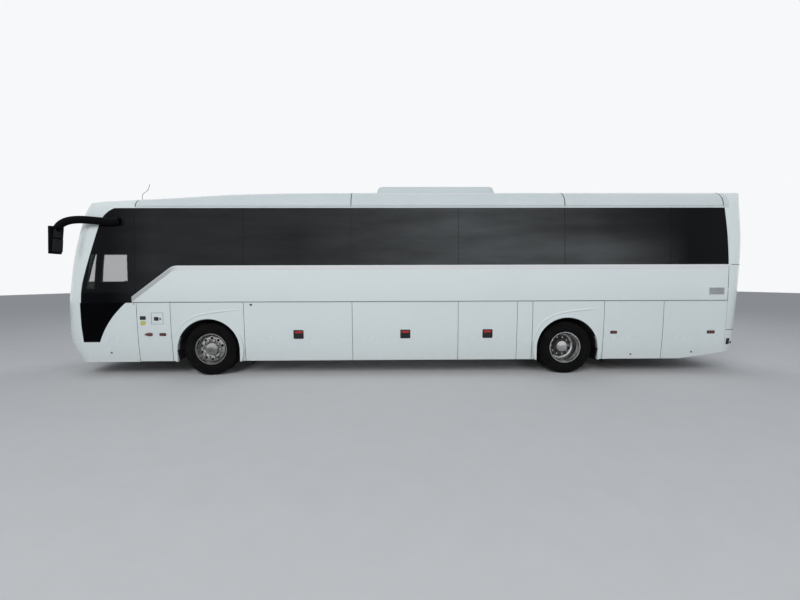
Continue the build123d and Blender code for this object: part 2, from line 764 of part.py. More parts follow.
# Floors: passenger deck with the stairwell, driver's platform, steps and wheel housings
deck_front = front_door_x[1] + 10
deck_half = half_width(waist_z) - wall - 1
platform_z = 1000
platform_half = half - 52 - pillar_depth - 2
aisle_y = 480
with BuildPart() as cabin_floor:
    add(box_between((deck_front, rear_seam_x - 10), (-deck_half, deck_half), (deck_z, deck_z + 38)))
    add(box_between((mid_door_x[0] - 20, mid_door_x[1] + 40), (490, half), (deck_z - 5, deck_z + 50)), mode=Mode.SUBTRACT)
    add(box_between((deck_front, deck_front + 30), (-platform_half, aisle_y), (platform_z - 20, deck_z + 1)))
    add(box_between((-6080, deck_front + 1), (-platform_half, aisle_y), (platform_z - 30, platform_z)))
    add(box_between((deck_front, deck_front + 30), (aisle_y - 1, platform_half), (390, deck_z + 1)))
    # Steps and their side walls, set a hair apart as bolted pieces
    step_front, step_rear = front_door_x[0] + 6, deck_front - seat_gap
    stair_top = platform_z - 30 - seat_gap
    add(box_between((step_front, step_rear), (aisle_y + seat_gap, half - 110), (step_low - 25, step_low)))
    add(box_between((step_front, step_rear), (half - 135, half - 110), (step_low - 60, step_low)))
    for level, reach in ((640, 960), (820, 760)):
        add(box_between((step_front, step_rear), (aisle_y + seat_gap, reach), (level - 25, level)))
        add(box_between((step_front, step_rear), (reach - 25, reach), (level - 60, level)))
    add(box_between((step_front - 20, step_front - seat_gap), (aisle_y - 20, 960), (360, stair_top)))
    add(box_between((step_front - seat_gap - 1, step_rear), (aisle_y - 20, aisle_y), (395, stair_top)))
    stair_start, stair_end = mid_door_x[0] - seat_gap, mid_door_x[1] + 10 + seat_gap
    for level, reach in ((step_low, half - 110), (700, 980), (930, 830), (1150, 660)):
        add(box_between((mid_door_x[0], mid_door_x[1] + 10), (482 + seat_gap, reach), (level - 25, level)))
    for start, end in ((stair_start - 30, stair_start), (stair_end, stair_end + 30)):
        add(box_between((start, end), (482, 980), (395, deck_z - seat_gap)))
    for axle in (front_axle_x, rear_axle_x):
        for side in (-1, 1):
            inner, outer = housing_inner, platform_half
            arch = [(axle + housing_radius * cos(radians(a)), tyre_radius + housing_radius * sin(radians(a)))
                    for a in range(0, 181, 20)]
            rim_line = [(x, z) for x, z in arch]
            inner_line = [(axle + (x - axle) * 0.98, tyre_radius + (z - tyre_radius) * 0.98) for x, z in reversed(arch)]
            with BuildSketch(Plane.XZ.offset(-side * inner)):
                with BuildLine():
                    Polyline(*rim_line, *inner_line, close=True)
                make_face()
            extrude(amount=-side * (outer - inner))
            with BuildSketch(Plane.XZ.offset(-side * inner)):
                with BuildLine():
                    Polyline(*rim_line, close=True)
                make_face()
            extrude(amount=-side * sheet)
            add(box_between((axle - 40, axle + 40), sorted((side * (rail_y + rail_width / 2), side * (inner + 2))),
                            (rail_high - 120, rail_high - 60)))
    for side in (-1, 1):
        add(box_between((rear_axle_x - 130, rear_axle_x + 130), sorted((side * (housing_inner - 20), side * (housing_inner + 20))),
                        (400, 640)), mode=Mode.SUBTRACT)

# Interior that shows through the glass and the open doors
seat_pitch = 800
seat_rows = 12
seat_start = -3900
seat_width = 455
seat_centres = (-962, -497, 497, 962)
with BuildPart() as passenger_seats:
    floor_z = deck_z + 38 + seat_gap
    for row in range(seat_rows):
        x = seat_start + row * seat_pitch
        for y in seat_centres:
            if y > 0 and mid_door_x[0] - 350 < x < mid_door_x[1] + 420:
                continue
            with BuildSketch(Plane.XZ.offset(-(y + seat_width / 2))):
                with BuildLine():
                    Polyline((x - 130, floor_z), (x + 130, floor_z), (x + 110, floor_z + 300), (x + 190, floor_z + 400),
                             (x + 330, floor_z + 1080), (x + 230, floor_z + 1110), (x + 90, floor_z + 480),
                             (x - 270, floor_z + 450), (x - 270, floor_z + 340), (x - 110, floor_z + 300), close=True)
                make_face()
            extrude(amount=seat_width)

with BuildPart() as driver_seat:
    seat_x, seat_y, base = -5080, -640, platform_z + seat_gap
    with BuildSketch(Plane.XZ.offset(-(seat_y + 260))):
        with BuildLine():
            Polyline((seat_x - 160, base), (seat_x + 160, base), (seat_x + 130, base + 330), (seat_x + 230, base + 420),
                     (seat_x + 340, base + 1180), (seat_x + 230, base + 1200), (seat_x + 90, base + 520),
                     (seat_x - 260, base + 490), (seat_x - 260, base + 370), (seat_x - 130, base + 320), close=True)
        make_face()
    extrude(amount=520)

with BuildPart() as luggage_racks:
    for side in (-1, 1):
        rack_wall = half_width(2860) - wall - 30
        with BuildSketch(Plane.YZ.offset(-4200)):
            with BuildLine():
                Polyline((side * rack_wall, 2860), (side * (rack_wall - 420), 2820), (side * (rack_wall - 480), 2880),
                         (side * (rack_wall - 420), 2960), (side * (rack_wall - 390), 2850), (side * rack_wall, 2885),
                         close=True)
            make_face()
        extrude(amount=rear_seam_x - 200 + 4200)
        for x in (-4100, -2000, 0, 2000, 4000, rear_seam_x - 260):
            add(box_between((x - 15, x + 15), sorted((side * (rack_wall - 5), side * (rack_wall - 60))), (2870, 3100)))
            add(box_between((x - 15, x + 15), sorted((side * (rack_wall - 60), side * (half_width(3100) - wall - seat_gap))),
                            (3060, 3100)))

with BuildPart() as dashboard:
    with BuildSketch(Plane.XZ.offset(-700)):
        with BuildLine():
            Polyline((-6060, platform_z + seat_gap), (-5930, platform_z + seat_gap), (-5860, 1330), (-5640, 1420),
                     (-5640, 1500), (-5820, 1640), (-6180, 1560), (-6240, 1350), close=True)
        make_face()
    extrude(amount=700 + 1130)
    wheel_plane = Plane(origin=(-5500, -640, 1690), x_dir=(0, 1, 0), z_dir=(0.5, 0, 0.866))
    add(wheel_plane.location * Torus(225, 17, mode=Mode.PRIVATE))
    add(wheel_plane.location * Cylinder(55, 40, mode=Mode.PRIVATE))
    for turn in (0, 120, 240):
        add(wheel_plane.location * Rot(0, 0, turn) * Pos(120, 0, 0) * Box(230, 26, 16, mode=Mode.PRIVATE))
    add(wheel_plane.location * Pos(0, 0, -170) * Cylinder(30, 340, mode=Mode.PRIVATE))

engine_x = (rear_x - 1900, rear_x - 700)
with BuildPart() as engine:
    add(box_between(engine_x, (-rail_y + 40 + seat_gap, rail_y - 40 - seat_gap), (470, 1280)))
    chamfer(edges().filter_by(Axis.X), 60)

# Front axle with its air bellows
beam_low = 380
with BuildPart() as front_axle:
    with BuildSketch(Plane.YZ.offset(front_axle_x - 45)):
        with BuildLine():
            Polyline((-kingpin_y, 455), (-kingpin_y + 150, 455), (-kingpin_y + 260, beam_low), (kingpin_y - 260, beam_low),
                     (kingpin_y - 150, 455), (kingpin_y, 455), (kingpin_y, 545), (kingpin_y - 170, 545),
                     (kingpin_y - 290, beam_low + 90), (-kingpin_y + 290, beam_low + 90), (-kingpin_y + 170, 545),
                     (-kingpin_y, 545), close=True)
        make_face()
    extrude(amount=90)
    with Locations((front_axle_x, -kingpin_y, 500), (front_axle_x, kingpin_y, 500)):
        Cylinder(52, 120)
        Cylinder(25.05, 200, mode=Mode.SUBTRACT)
    for side in (-1, 1):
        for shift in (-1, 1):
            x = front_axle_x + shift * 200
            with Locations((x, side * rail_y, 500)):
                Cylinder(90, 2 * (rail_low - seat_gap - 500))
        add(box_between((front_axle_x - 200, front_axle_x + 200), sorted((side * (rail_y - 50), side * (rail_y + 50))),
                        (430, 480)))

knuckles = {}
for name, side in (("knuckle_left", -1), ("knuckle_right", 1)):
    with BuildPart() as knuckle:
        with Locations((front_axle_x, side * kingpin_y, 500)):
            Cylinder(25, 250)
        for z in (500 - 60 - 5 - 20, 500 + 60 + 5 + 20):
            with Locations((front_axle_x, side * kingpin_y, z)):
                Cylinder(50, 40)
            add(box_between((front_axle_x - 45, front_axle_x + 45), sorted((side * kingpin_y, side * (kingpin_y + 78))),
                            (z - 20, z + 20)))
        add(box_between((front_axle_x - 55, front_axle_x + 55), sorted((side * (kingpin_y + 55), side * (kingpin_y + 80))),
                        (395, 605)))
        with Locations(Location((front_axle_x, side * (kingpin_y + 170), 500), (90, 0, 0))):
            Cylinder(spindle_radius, 190)
    knuckles[name] = knuckle

# Rear axle: tube, banjo housing, stub ends and bellows
with BuildPart() as rear_axle:
    with Locations(Location((rear_axle_x, 0, 500), (90, 0, 0))):
        Cylinder(78, 2 * 500)
        Cylinder(stub_radius, 2 * 990)
        Cylinder(205, 170)
    chamfer(edges().filter_by(GeomType.CIRCLE).filter_by(lambda e: e.radius > 200), 60)
    for side in (-1, 1):
        for shift in (-1, 1):
            x = rear_axle_x + shift * 330
            with Locations((x, side * rail_y, 500)):
                Cylinder(95, 2 * (rail_low - seat_gap - 500))
        add(box_between((rear_axle_x - 330, rear_axle_x + 330), sorted((side * (rail_y - 50), side * (rail_y + 50))),
                        (440, 490)))

# Wheels
def wheel_ring(x, y, side, draw):
    # Closed outline of (radius, distance outward along the axle), revolved about the axle
    with BuildPart() as ring:
        with BuildSketch(Plane(origin=(x, side * y, tyre_radius), x_dir=(1, 0, 0), z_dir=(0, 0, side))):
            with BuildLine():
                draw()
            make_face()
        revolve(axis=Axis((x, side * y, tyre_radius), (0, 1, 0)))
    add(ring.part)


def tyre_outline():
    w = tyre_width / 2
    Polyline((bead_radius, -80), (bead_radius, 80))
    Polyline((bead_radius, 80), (flange_radius + 6, 104))
    ThreePointArc((flange_radius + 6, 104), (395, w), (470, 132))
    ThreePointArc((470, 132), (tyre_radius - 5, 122), (tyre_radius, 104))
    Line((tyre_radius, 104), (tyre_radius, -104))
    ThreePointArc((tyre_radius, -104), (tyre_radius - 5, -122), (470, -132))
    ThreePointArc((470, -132), (395, -w), (flange_radius + 6, -104))
    Line((flange_radius + 6, -104), (bead_radius, -80))


def rim_barrel():
    edge = rim_width / 2
    Polyline((bead_radius, -80), (flange_radius, -96), (flange_radius, -edge), (flange_radius - 14, -edge),
             (270, -84), (248, -60), (248, 40), (270, 84), (flange_radius - 14, edge), (flange_radius, edge),
             (flange_radius, 96), (bead_radius, 80), close=True)


hand_holes = 10
hub_bore = stub_radius + running_fit
spindle_bore = spindle_radius + running_fit
hand_hole_radius = 26


def front_disc():
    Polyline((spindle_bore, -40), (120, -40), (120, 40), (165, 62), (235, 48), (255, 10), (262, 14), (242, 64), (168, 82),
             (128, 64), (118, 96), (70, 118), (0, 124), (0, 110),
             (spindle_bore, 110), close=True)


def rear_disc():
    # Both discs meet at the hub flange, midway between the twin rims; the hub ends in a dome
    middle = -(tyre_width + twin_gap) / 2
    Polyline((hub_bore, middle - 25), (150, middle - 25), (245, middle - 49), (276, middle - 84),
             (276, middle - 64), (256, middle - 31), (165, middle), (256, middle + 31), (276, middle + 64),
             (276, middle + 84), (245, middle + 49), (150, middle + 25), (132, middle + 105), (112, middle + 157),
             (60, middle + 171), (0, middle + 175), (0, middle + 145), (hub_bore, middle + 135), close=True)


wheels = {}
for end, x, y in (("front", front_axle_x, front_wheel_y), ("rear", rear_axle_x, rear_outer_y)):
    for hand, side in (("left", -1), ("right", 1)):
        with BuildPart() as tyre:
            wheel_ring(x, y, side, tyre_outline)
            if end == "rear":
                wheel_ring(x, rear_inner_y, side, tyre_outline)
        wheels["tyre_%s_%s" % (end, hand)] = tyre
        with BuildPart() as rim:
            wheel_ring(x, y, side, rim_barrel)
            if end == "front":
                wheel_ring(x, y, side, front_disc)
            else:
                wheel_ring(x, rear_inner_y, side, rim_barrel)
                wheel_ring(x, y, side, rear_disc)
            ring_radius = 205
            for step in range(hand_holes):
                a = radians(step * 360 / hand_holes + 18)
                hole = Pos(x + ring_radius * cos(a), side * y, tyre_radius + ring_radius * sin(a)) * Rot(90, 0, 0)
                add(hole * Cylinder(hand_hole_radius, 400, mode=Mode.PRIVATE), mode=Mode.SUBTRACT)
        wheels["rim_%s_%s" % (end, hand)] = rim

# Mirrors on hanging arms; the heads lean, so their glasses lean with them
mirror_y = 1400
mirror_low, mirror_high = (2303, -6365), (2790, -6320)
mirror_lean = degrees(asin((mirror_high[1] + 4 - mirror_low[1]) / (mirror_high[0] - mirror_low[0])))
mirror_panes = ((2340, 2570), (2592, 2750))


def mirror_slab(pane_low, pane_high, side, depth, thick, clear):
    middle = (pane_low + pane_high) / 2
    x = between([(z, x) for z, x in (mirror_low, mirror_high)], middle) + 44
    return Pos(x, side * mirror_y, middle) * Rot(0, mirror_lean, 0) * Pos(depth, 0, 0) * Box(
        thick, 180 + 2 * clear, pane_high - pane_low + 2 * clear, mode=Mode.PRIVATE)


with BuildPart() as mirror_arms:
    for side in (-1, 1):
        with BuildPart(mode=Mode.PRIVATE) as arm:
            with BuildLine() as route:
                Spline((-5290, side * 1272, 2925), (-5800, side * 1332, 2925), (-6170, side * mirror_y, 2872),
                       (-6318, side * mirror_y, 2740))
            with BuildSketch(Plane(origin=route.line @ 0, x_dir=(0, 0, 1), z_dir=route.line % 0)):
                Ellipse(70, 28)
            sweep()
        add(arm.part - side_strip(-5500, -5100, 2700, 3100, -seat_gap, 100, side))
        side_band(-5390, -5290, 2862, 2975, -42, -seat_gap, side)
        with BuildSketch(Plane.XY.offset(mirror_low[0])):
            with Locations((mirror_low[1], side * mirror_y)):
                RectangleRounded(84, 210, 41)
        with BuildSketch(Plane.XY.offset(mirror_high[0])):
            with Locations((mirror_high[1], side * mirror_y)):
                RectangleRounded(92, 250, 45)
        loft()
        for low, high in mirror_panes:
            add(mirror_slab(low, high, side, 9, 24, seat_gap), mode=Mode.SUBTRACT)

with BuildPart() as mirror_glasses:
    for side in (-1, 1):
        for low, high in mirror_panes:
            add(mirror_slab(low, high, side, 1 + seat_gap, 8, 0))

# Wipers resting on the front panel below the screen
with BuildPart() as wipers:
    for y in (-560, 480):
        with BuildPart(mode=Mode.PRIVATE) as blade:
            add(box_between((-7000, -5000), (y - 440, y + 440), (1560, 1584)))
            add(box_between((-7000, -5000), (y + 380, y + 410), (1425, 1584)))
        skin = plan_cap(front_rows, front_x, -1, front_bow, front_corner, -5500, -14) - plan_cap(
            front_rows, front_x, -1, front_bow, front_corner, -5400, -seat_gap)
        add(skin & blade.part)

nodes = {
    "underframe": underframe,
    "luggage_bay": luggage_bay,
    "cabin_floor": cabin_floor,
    "roof_shell": roof_shell,
    "roof_unit": roof_unit,
    "front_mask": front_mask,
    "windscreen": windscreen,
    "front_bumper": front_bumper,
    "head_lamps": head_lamps,
    "corner_panels": corner_panels,
    "rear_wall": rear_wall,
    "rear_window": rear_window,
    "tail_lamps": tail_lamps,
    "rear_bumper": rear_bumper,
    "engine_lid": engine_lid,
    "filler_lid": filler_lid,
    "front_door_post": front_door_post,
    "front_door": front_door,
    "front_door_glass": front_door_glass,
    "mid_door_post": mid_door_post,
    "mid_door": mid_door,
    "mid_door_glass": mid_door_glass,
    "passenger_seats": passenger_seats,
    "driver_seat": driver_seat,
    "luggage_racks": luggage_racks,
    "dashboard": dashboard,
    "engine": engine,
    "front_axle": front_axle,
    "rear_axle": rear_axle,
    "mirror_arms": mirror_arms,
    "mirror_glasses": mirror_glasses,
    "wipers": wipers,
}
for group in (walls, glazing, skirts, flaps, knuckles, wheels):
    nodes.update(group)

os.makedirs("parts", exist_ok=True)
for name, piece in nodes.items():
    piece.part.label = name
    export_step(piece.part, "parts/%s.step" % name)

print("front door post", front_post_x, post_y, "pin", front_pin, "angles", swing_angles(front_reach))
print("middle door post", mid_post_x, post_y, "pin", mid_pin, "angles", swing_angles(mid_reach))
print("nodes", len(nodes))
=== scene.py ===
import bpy
import bmesh
import json
from math import cos, pi, radians, sin, sqrt, tan
from mathutils import Matrix, Vector
from mathutils.bvhtree import BVHTree
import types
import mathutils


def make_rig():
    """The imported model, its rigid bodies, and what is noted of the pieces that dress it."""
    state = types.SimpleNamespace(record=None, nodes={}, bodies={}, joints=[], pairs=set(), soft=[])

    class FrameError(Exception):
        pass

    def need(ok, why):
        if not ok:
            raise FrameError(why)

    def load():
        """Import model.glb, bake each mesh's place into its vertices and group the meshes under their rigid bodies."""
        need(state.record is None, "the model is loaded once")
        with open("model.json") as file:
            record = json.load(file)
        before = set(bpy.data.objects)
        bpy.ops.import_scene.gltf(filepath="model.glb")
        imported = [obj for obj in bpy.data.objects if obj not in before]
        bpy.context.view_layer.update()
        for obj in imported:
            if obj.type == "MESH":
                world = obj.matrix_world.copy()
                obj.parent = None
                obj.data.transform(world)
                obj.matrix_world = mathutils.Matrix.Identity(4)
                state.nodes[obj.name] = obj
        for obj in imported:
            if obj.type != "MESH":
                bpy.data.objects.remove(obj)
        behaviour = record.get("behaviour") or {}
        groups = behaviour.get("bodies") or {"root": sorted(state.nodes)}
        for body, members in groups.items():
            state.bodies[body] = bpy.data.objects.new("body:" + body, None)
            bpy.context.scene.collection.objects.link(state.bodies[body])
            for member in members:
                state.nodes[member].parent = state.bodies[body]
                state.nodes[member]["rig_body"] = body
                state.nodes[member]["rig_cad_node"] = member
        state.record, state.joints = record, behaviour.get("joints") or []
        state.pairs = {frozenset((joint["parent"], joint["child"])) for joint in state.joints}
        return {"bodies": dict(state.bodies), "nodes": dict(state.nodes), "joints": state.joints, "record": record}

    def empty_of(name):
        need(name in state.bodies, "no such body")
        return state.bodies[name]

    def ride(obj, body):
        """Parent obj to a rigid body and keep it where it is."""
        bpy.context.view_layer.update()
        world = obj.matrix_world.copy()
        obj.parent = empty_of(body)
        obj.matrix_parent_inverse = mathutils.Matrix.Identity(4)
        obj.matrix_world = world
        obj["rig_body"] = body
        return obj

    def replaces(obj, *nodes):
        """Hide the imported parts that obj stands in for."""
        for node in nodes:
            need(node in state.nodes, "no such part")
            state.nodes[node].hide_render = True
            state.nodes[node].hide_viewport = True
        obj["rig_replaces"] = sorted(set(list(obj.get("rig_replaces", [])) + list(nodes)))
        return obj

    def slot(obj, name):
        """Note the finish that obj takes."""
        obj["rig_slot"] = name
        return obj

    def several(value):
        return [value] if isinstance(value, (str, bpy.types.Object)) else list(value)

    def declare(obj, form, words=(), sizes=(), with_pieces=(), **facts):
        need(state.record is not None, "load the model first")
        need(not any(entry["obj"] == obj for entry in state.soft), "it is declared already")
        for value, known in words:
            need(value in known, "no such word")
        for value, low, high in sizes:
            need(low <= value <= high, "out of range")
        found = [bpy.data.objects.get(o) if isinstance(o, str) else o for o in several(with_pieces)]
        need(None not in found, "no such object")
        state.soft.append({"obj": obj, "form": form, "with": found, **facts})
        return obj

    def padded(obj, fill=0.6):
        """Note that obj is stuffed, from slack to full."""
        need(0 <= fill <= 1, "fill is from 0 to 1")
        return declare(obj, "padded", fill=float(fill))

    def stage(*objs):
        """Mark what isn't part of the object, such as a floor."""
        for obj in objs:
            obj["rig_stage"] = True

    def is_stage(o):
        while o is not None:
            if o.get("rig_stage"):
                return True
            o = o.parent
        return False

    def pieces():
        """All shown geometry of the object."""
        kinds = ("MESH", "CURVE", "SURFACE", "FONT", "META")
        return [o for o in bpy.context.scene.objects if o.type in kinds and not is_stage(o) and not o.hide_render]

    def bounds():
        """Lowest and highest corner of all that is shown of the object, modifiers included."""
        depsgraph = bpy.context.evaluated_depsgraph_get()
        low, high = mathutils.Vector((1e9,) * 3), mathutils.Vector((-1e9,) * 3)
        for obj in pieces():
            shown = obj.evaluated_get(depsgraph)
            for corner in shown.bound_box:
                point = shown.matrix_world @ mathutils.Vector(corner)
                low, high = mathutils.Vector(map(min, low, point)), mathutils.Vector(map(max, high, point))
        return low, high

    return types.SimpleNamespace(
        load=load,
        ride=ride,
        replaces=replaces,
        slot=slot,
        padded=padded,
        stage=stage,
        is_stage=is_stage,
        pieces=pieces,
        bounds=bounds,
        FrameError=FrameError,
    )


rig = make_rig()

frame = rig.load()
cadBox = [list(corner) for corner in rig.bounds()]
nodes = frame["nodes"]
print("frame loaded,", len(nodes), "nodes")

# The coach's own sizes in metres: -X forward, +Y right, +Z up. sideRows says how far the side stands in
# at a height, and a face less deep than skin belongs to the outer skin
coach = {
    "half": 1.275,
    "sideRows": [(0.200, 0.057), (0.280, 0.050), (0.560, 0.026), (0.840, 0.010), (1.120, 0.003), (1.400, 0.0),
                 (2.092, 0.003), (2.630, 0.027), (3.166, 0.060), (3.600, 0.084)],
    "frontAxleX": -3.715, "rearAxleX": 3.10, "axleZ": 0.5, "wheelY": 1.0825, "innerWheelY": 0.7525,
    "skin": 0.0015,
}
mainBody = "coach_body"


def between(rows, z):
    # The value at z from rows of (height, value), level beyond both ends
    for (low, a), (high, b) in zip(rows, rows[1:]):
        if z <= high:
            return a + (b - a) * (max(z, low) - low) / (high - low)
    return rows[-1][1]


def halfWidth(z):
    return coach["half"] - between(coach["sideRows"], z)


def sideSlope(z):
    # How fast the side widens with height, eased from one band of the profile to the next
    rows = coach["sideRows"]
    return between([((a[0] + b[0]) / 2, (a[1] - b[1]) / (b[0] - a[0])) for a, b in zip(rows, rows[1:])], z)


def depthOf(point):
    # How far a point lies inside the body's side
    return halfWidth(point.z) - abs(point.y)


def onSide(x, z, side, out):
    return Vector((x, side * (halfWidth(z) + out), z))


# node trees: one class wraps an output socket, one a tree of any kind
class Num:
    def __init__(self, owner, socket):
        self.owner, self.socket = owner, socket

    def maths(self, operation, *others):
        return self.owner.node("Math", {"operation": operation}, dict(enumerate((self,) + others)))

    def __add__(self, other):
        return self.maths("ADD", other)

    def __sub__(self, other):
        return self.maths("SUBTRACT", other)

    def __rsub__(self, other):
        return (self * -1) + other

    def __mul__(self, other):
        return self.maths("MULTIPLY", other)

    def __truediv__(self, other):
        return self.maths("DIVIDE", other)

    __radd__, __rmul__ = __add__, __mul__

    def least(self, other):
        return self.maths("MINIMUM", other)

    def most(self, other):
        return self.maths("MAXIMUM", other)

    def size(self):
        return self.maths("ABSOLUTE")

    def clamped(self):
        return self.most(0.0).least(1.0)

    def ramp(self, low, high):
        # 0 below low, 1 above high
        return ((self - low) / (high - low)).clamped()


class Tree:
    # Other nodes' outputs, group inputs by name and plain values feed the inputs of each new node
    def __init__(self, tree, family=""):
        self.tree, self.family = tree, family
        tree.nodes.clear()

    def feed(self, socket, entry):
        if isinstance(entry, Num):
            self.tree.links.new(entry.socket, socket)
        elif isinstance(entry, str):
            self.tree.links.new(self.source.outputs[entry], socket)
        else:
            socket.default_value = entry

    def node(self, kind, settings=None, inputs=None, out=0):
        made = self.tree.nodes.new(self.family + kind)
        for key, entry in (settings or {}).items():
            setattr(made, key, entry)
        for key, entry in (inputs or {}).items():
            self.feed(made.inputs[key], entry)
        return made if out is None else Num(self, made.outputs[out])


class Finish(Tree):
    def __init__(self, name):
        self.material = bpy.data.materials.new(name)
        self.material.use_nodes = True
        super().__init__(self.material.node_tree, "ShaderNode")
        self.place = self.node("TexCoord", out="Object")
        parts = self.node("SeparateXYZ", inputs={0: self.place}, out=None)
        self.x, self.y, self.z = (Num(self, socket) for socket in parts.outputs)

    def noise(self, scale, detail=3.0, place=None):
        return self.node("TexNoise", inputs={"Vector": place or self.place, "Scale": scale, "Detail": detail,
                                             "Roughness": 0.55}, out="Fac")

    def stretched(self, x, y, z):
        return self.node("Mapping", inputs={"Vector": self.place, "Scale": (x, y, z)})

    def mix(self, share, a, b):
        made = self.node("Mix", {"data_type": "RGBA"}, {0: share, 6: a, 7: b}, out=None)
        return Num(self, made.outputs[2])

    def bump(self, height, strength=0.3, distance=0.002):
        return self.node("Bump", inputs={"Height": height, "Strength": strength, "Distance": distance})

    def surface(self, **sockets):
        names = {key.replace("_", " "): entry for key, entry in sockets.items()}
        shader = self.node("BsdfPrincipled", inputs=names)
        self.node("OutputMaterial", inputs={"Surface": shader}, out=None)
        if "Alpha" in names:
            self.material.surface_render_method = "BLENDED"
        return self.material

    def insideOf(self, outline, edge=0.004):
        # 1 inside a convex outline of (x, z) points, given clockwise or not
        sides = list(zip(outline, outline[1:] + outline[:1]))
        turn = 1 if sum(x0 * z1 - x1 * z0 for (x0, z0), (x1, z1) in sides) > 0 else -1
        inside = None
        for (x0, z0), (x1, z1) in sides:
            run = sqrt((x1 - x0) ** 2 + (z1 - z0) ** 2)
            ax, az = -turn * (z1 - z0) / run, turn * (x1 - x0) / run
            away = self.x * ax + self.z * az - (x0 * ax + z0 * az)
            inside = away if inside is None else inside.least(away)
        return inside.ramp(-edge, edge)


def grey(level):
    return (level, level, level, 1)


def shaded(colour, share=1.0):
    return tuple(c * share for c in colour) + (1,)


# finishes
# The roof tone is the coach's white darkened, painted shade on the roof
paintTone = {
    "white": (0.765, 0.835, 0.835, 1), "cloud": (0.715, 0.785, 0.79, 1), "roof": (0.62, 0.69, 0.70, 1),
    "dust": (0.50, 0.47, 0.42, 1), "dustTop": 0.95, "dustLow": 0.25,
}


def coachPaint(name="coachWhite", base="white"):
    # Gloss paint, a little cloudy, with road film that thickens towards the skirt
    f = Finish(name)
    cloud = f.noise(0.9, 4.0)
    fine = f.noise(14.0, 5.0)
    tone = f.mix(cloud.ramp(0.35, 0.7) * 0.35, paintTone[base], paintTone["cloud"])
    low = 1 - f.z.ramp(paintTone["dustLow"], paintTone["dustTop"])
    streak = f.noise(6.0, 4.0, place=f.stretched(3.0, 3.0, 0.35))
    film = (low * low * (0.35 + streak * 0.75) * (0.4 + fine * 0.6)).clamped()
    tone = f.mix(film * 0.40, tone, paintTone["dust"])
    peel = f.noise(160.0, 2.0)
    return f.surface(Base_Color=tone, Roughness=0.22 + film * 0.4 + fine * 0.06,
                     Normal=f.bump(peel, 0.04, 0.001), Coat_Weight=0.5, Coat_Roughness=0.08, IOR=1.5)


def plainFinish(name, colour, rough, metal=0.0, grain=60.0, bump=0.15, spread=0.12, shine=0.5):
    f = Finish(name)
    fine = f.noise(grain, 4.0)
    wide = f.noise(grain / 14, 3.0)
    tone = f.mix(wide.ramp(0.3, 0.75) * 0.8, shaded(colour), shaded(colour, 1 - spread * 2))
    return f.surface(Base_Color=tone, Roughness=rough + (fine - 0.5) * 0.18, Metallic=metal,
                     Normal=f.bump(fine, bump, 0.001), Specular_IOR_Level=shine)


# The belt's tone on its front slope is painted shade
beltTone = {"bend": (-4.42, -4.24), "shadedSlope": (0.46, 0.475, 0.475, 1), "level": (0.79, 0.79, 0.80, 1)}


def beltFilm(v=beltTone):
    # Pale along the side; greyer where it slopes down to the front, which is painted shade
    f = Finish("beltStripe")
    fine = f.noise(40.0, 4.0)
    tone = f.mix(f.x.ramp(*v["bend"]), v["shadedSlope"], v["level"])
    tone = f.mix(fine * 0.12, tone, grey(0.55))
    return f.surface(Base_Color=tone, Roughness=0.32 + fine * 0.1, Normal=f.bump(fine, 0.03, 0.001),
                     Coat_Weight=0.4)


# Tones of the band glass, and where a painted reflection lies along its panes
bandTone = {
    "glass": (0.003, 0.0035, 0.0045, 1), "smear": (0.006, 0.007, 0.009, 1), "clear": (0.05, 0.06, 0.06, 1),
    "paintedReflection": (0.085, 0.090, 0.092, 1), "front": (-5.5, -4.7), "frontShare": 0.34, "middle": (-2.0, 1.9),
    "middleShare": 0.95, "end": (3.6, 5.4), "top": (2.35, 2.8), "topFrom": (1.0, 4.0), "topShare": 0.70,
}


def bandGlass(name, panes=(), alpha=0.965, clear=0.22, reflectionShare=0.85, v=bandTone):
    # Tinted glass; the driver's panes are clear
    f = Finish(name)
    smear = f.noise(1.3, 3.0)
    if panes:
        see = f.insideOf(panes[0])
        for outline in panes[1:]:
            see = see.most(f.insideOf(outline))
        opacity = alpha + see * (clear - alpha)
        tone = f.mix(see, v["glass"], v["clear"])
    else:
        opacity = alpha + smear * 0.01
        tone = f.mix(smear, v["glass"], v["smear"])
    # Painted reflection on the panes: long low streaks, densest behind the middle and gone towards both ends
    dense = f.x.ramp(*v["front"]) * v["frontShare"] + f.x.ramp(*v["middle"]) * v["middleShare"]
    upper = f.z.ramp(*v["top"]) * f.x.ramp(*v["topFrom"]) * v["topShare"]
    streak = f.noise(1.6, 4.0, place=f.stretched(0.35, 1.0, 2.2)).ramp(0.3, 0.7)
    paintedReflection = dense * (1 - f.x.ramp(*v["end"])) * (1 - upper) * (0.65 + streak * 0.5)
    tone = f.mix(paintedReflection * reflectionShare, tone, v["paintedReflection"])
    return f.surface(Base_Color=tone, Roughness=0.03 + smear * 0.03, Alpha=opacity, Specular_IOR_Level=0.06)


screenPrint = {"half": 1.130, "top": 3.110, "foot": 1.480, "dots": (0.070, 0.078), "sunStrip": (2.80, 3.0)}


def screenGlass(v=screenPrint):
    # Windscreen: clear, with a black printed border and a darker strip along its top
    f = Finish("windscreenGlass")
    inward = (v["half"] - f.y.size()).least(v["top"] - f.z).least(f.z - v["foot"])
    border = 1 - inward.ramp(*v["dots"])
    sunStrip = f.z.ramp(*v["sunStrip"])
    opacity = 0.20 + border.most(sunStrip * 0.8) * 0.79
    tone = f.mix(border.most(sunStrip), (0.06, 0.075, 0.075, 1), (0.006, 0.006, 0.007, 1))
    smear = f.noise(2.0, 3.0)
    return f.surface(Base_Color=tone, Roughness=0.03 + smear * 0.03, Alpha=opacity, Coat_Weight=0.5, IOR=1.52)


rimTone = {"film": (0.25, 0.24, 0.225, 1), "brown": (0.060, 0.050, 0.042, 1), "dish": (0.215, 0.240),
           "lathe": 900, "capEdge": 0.002}


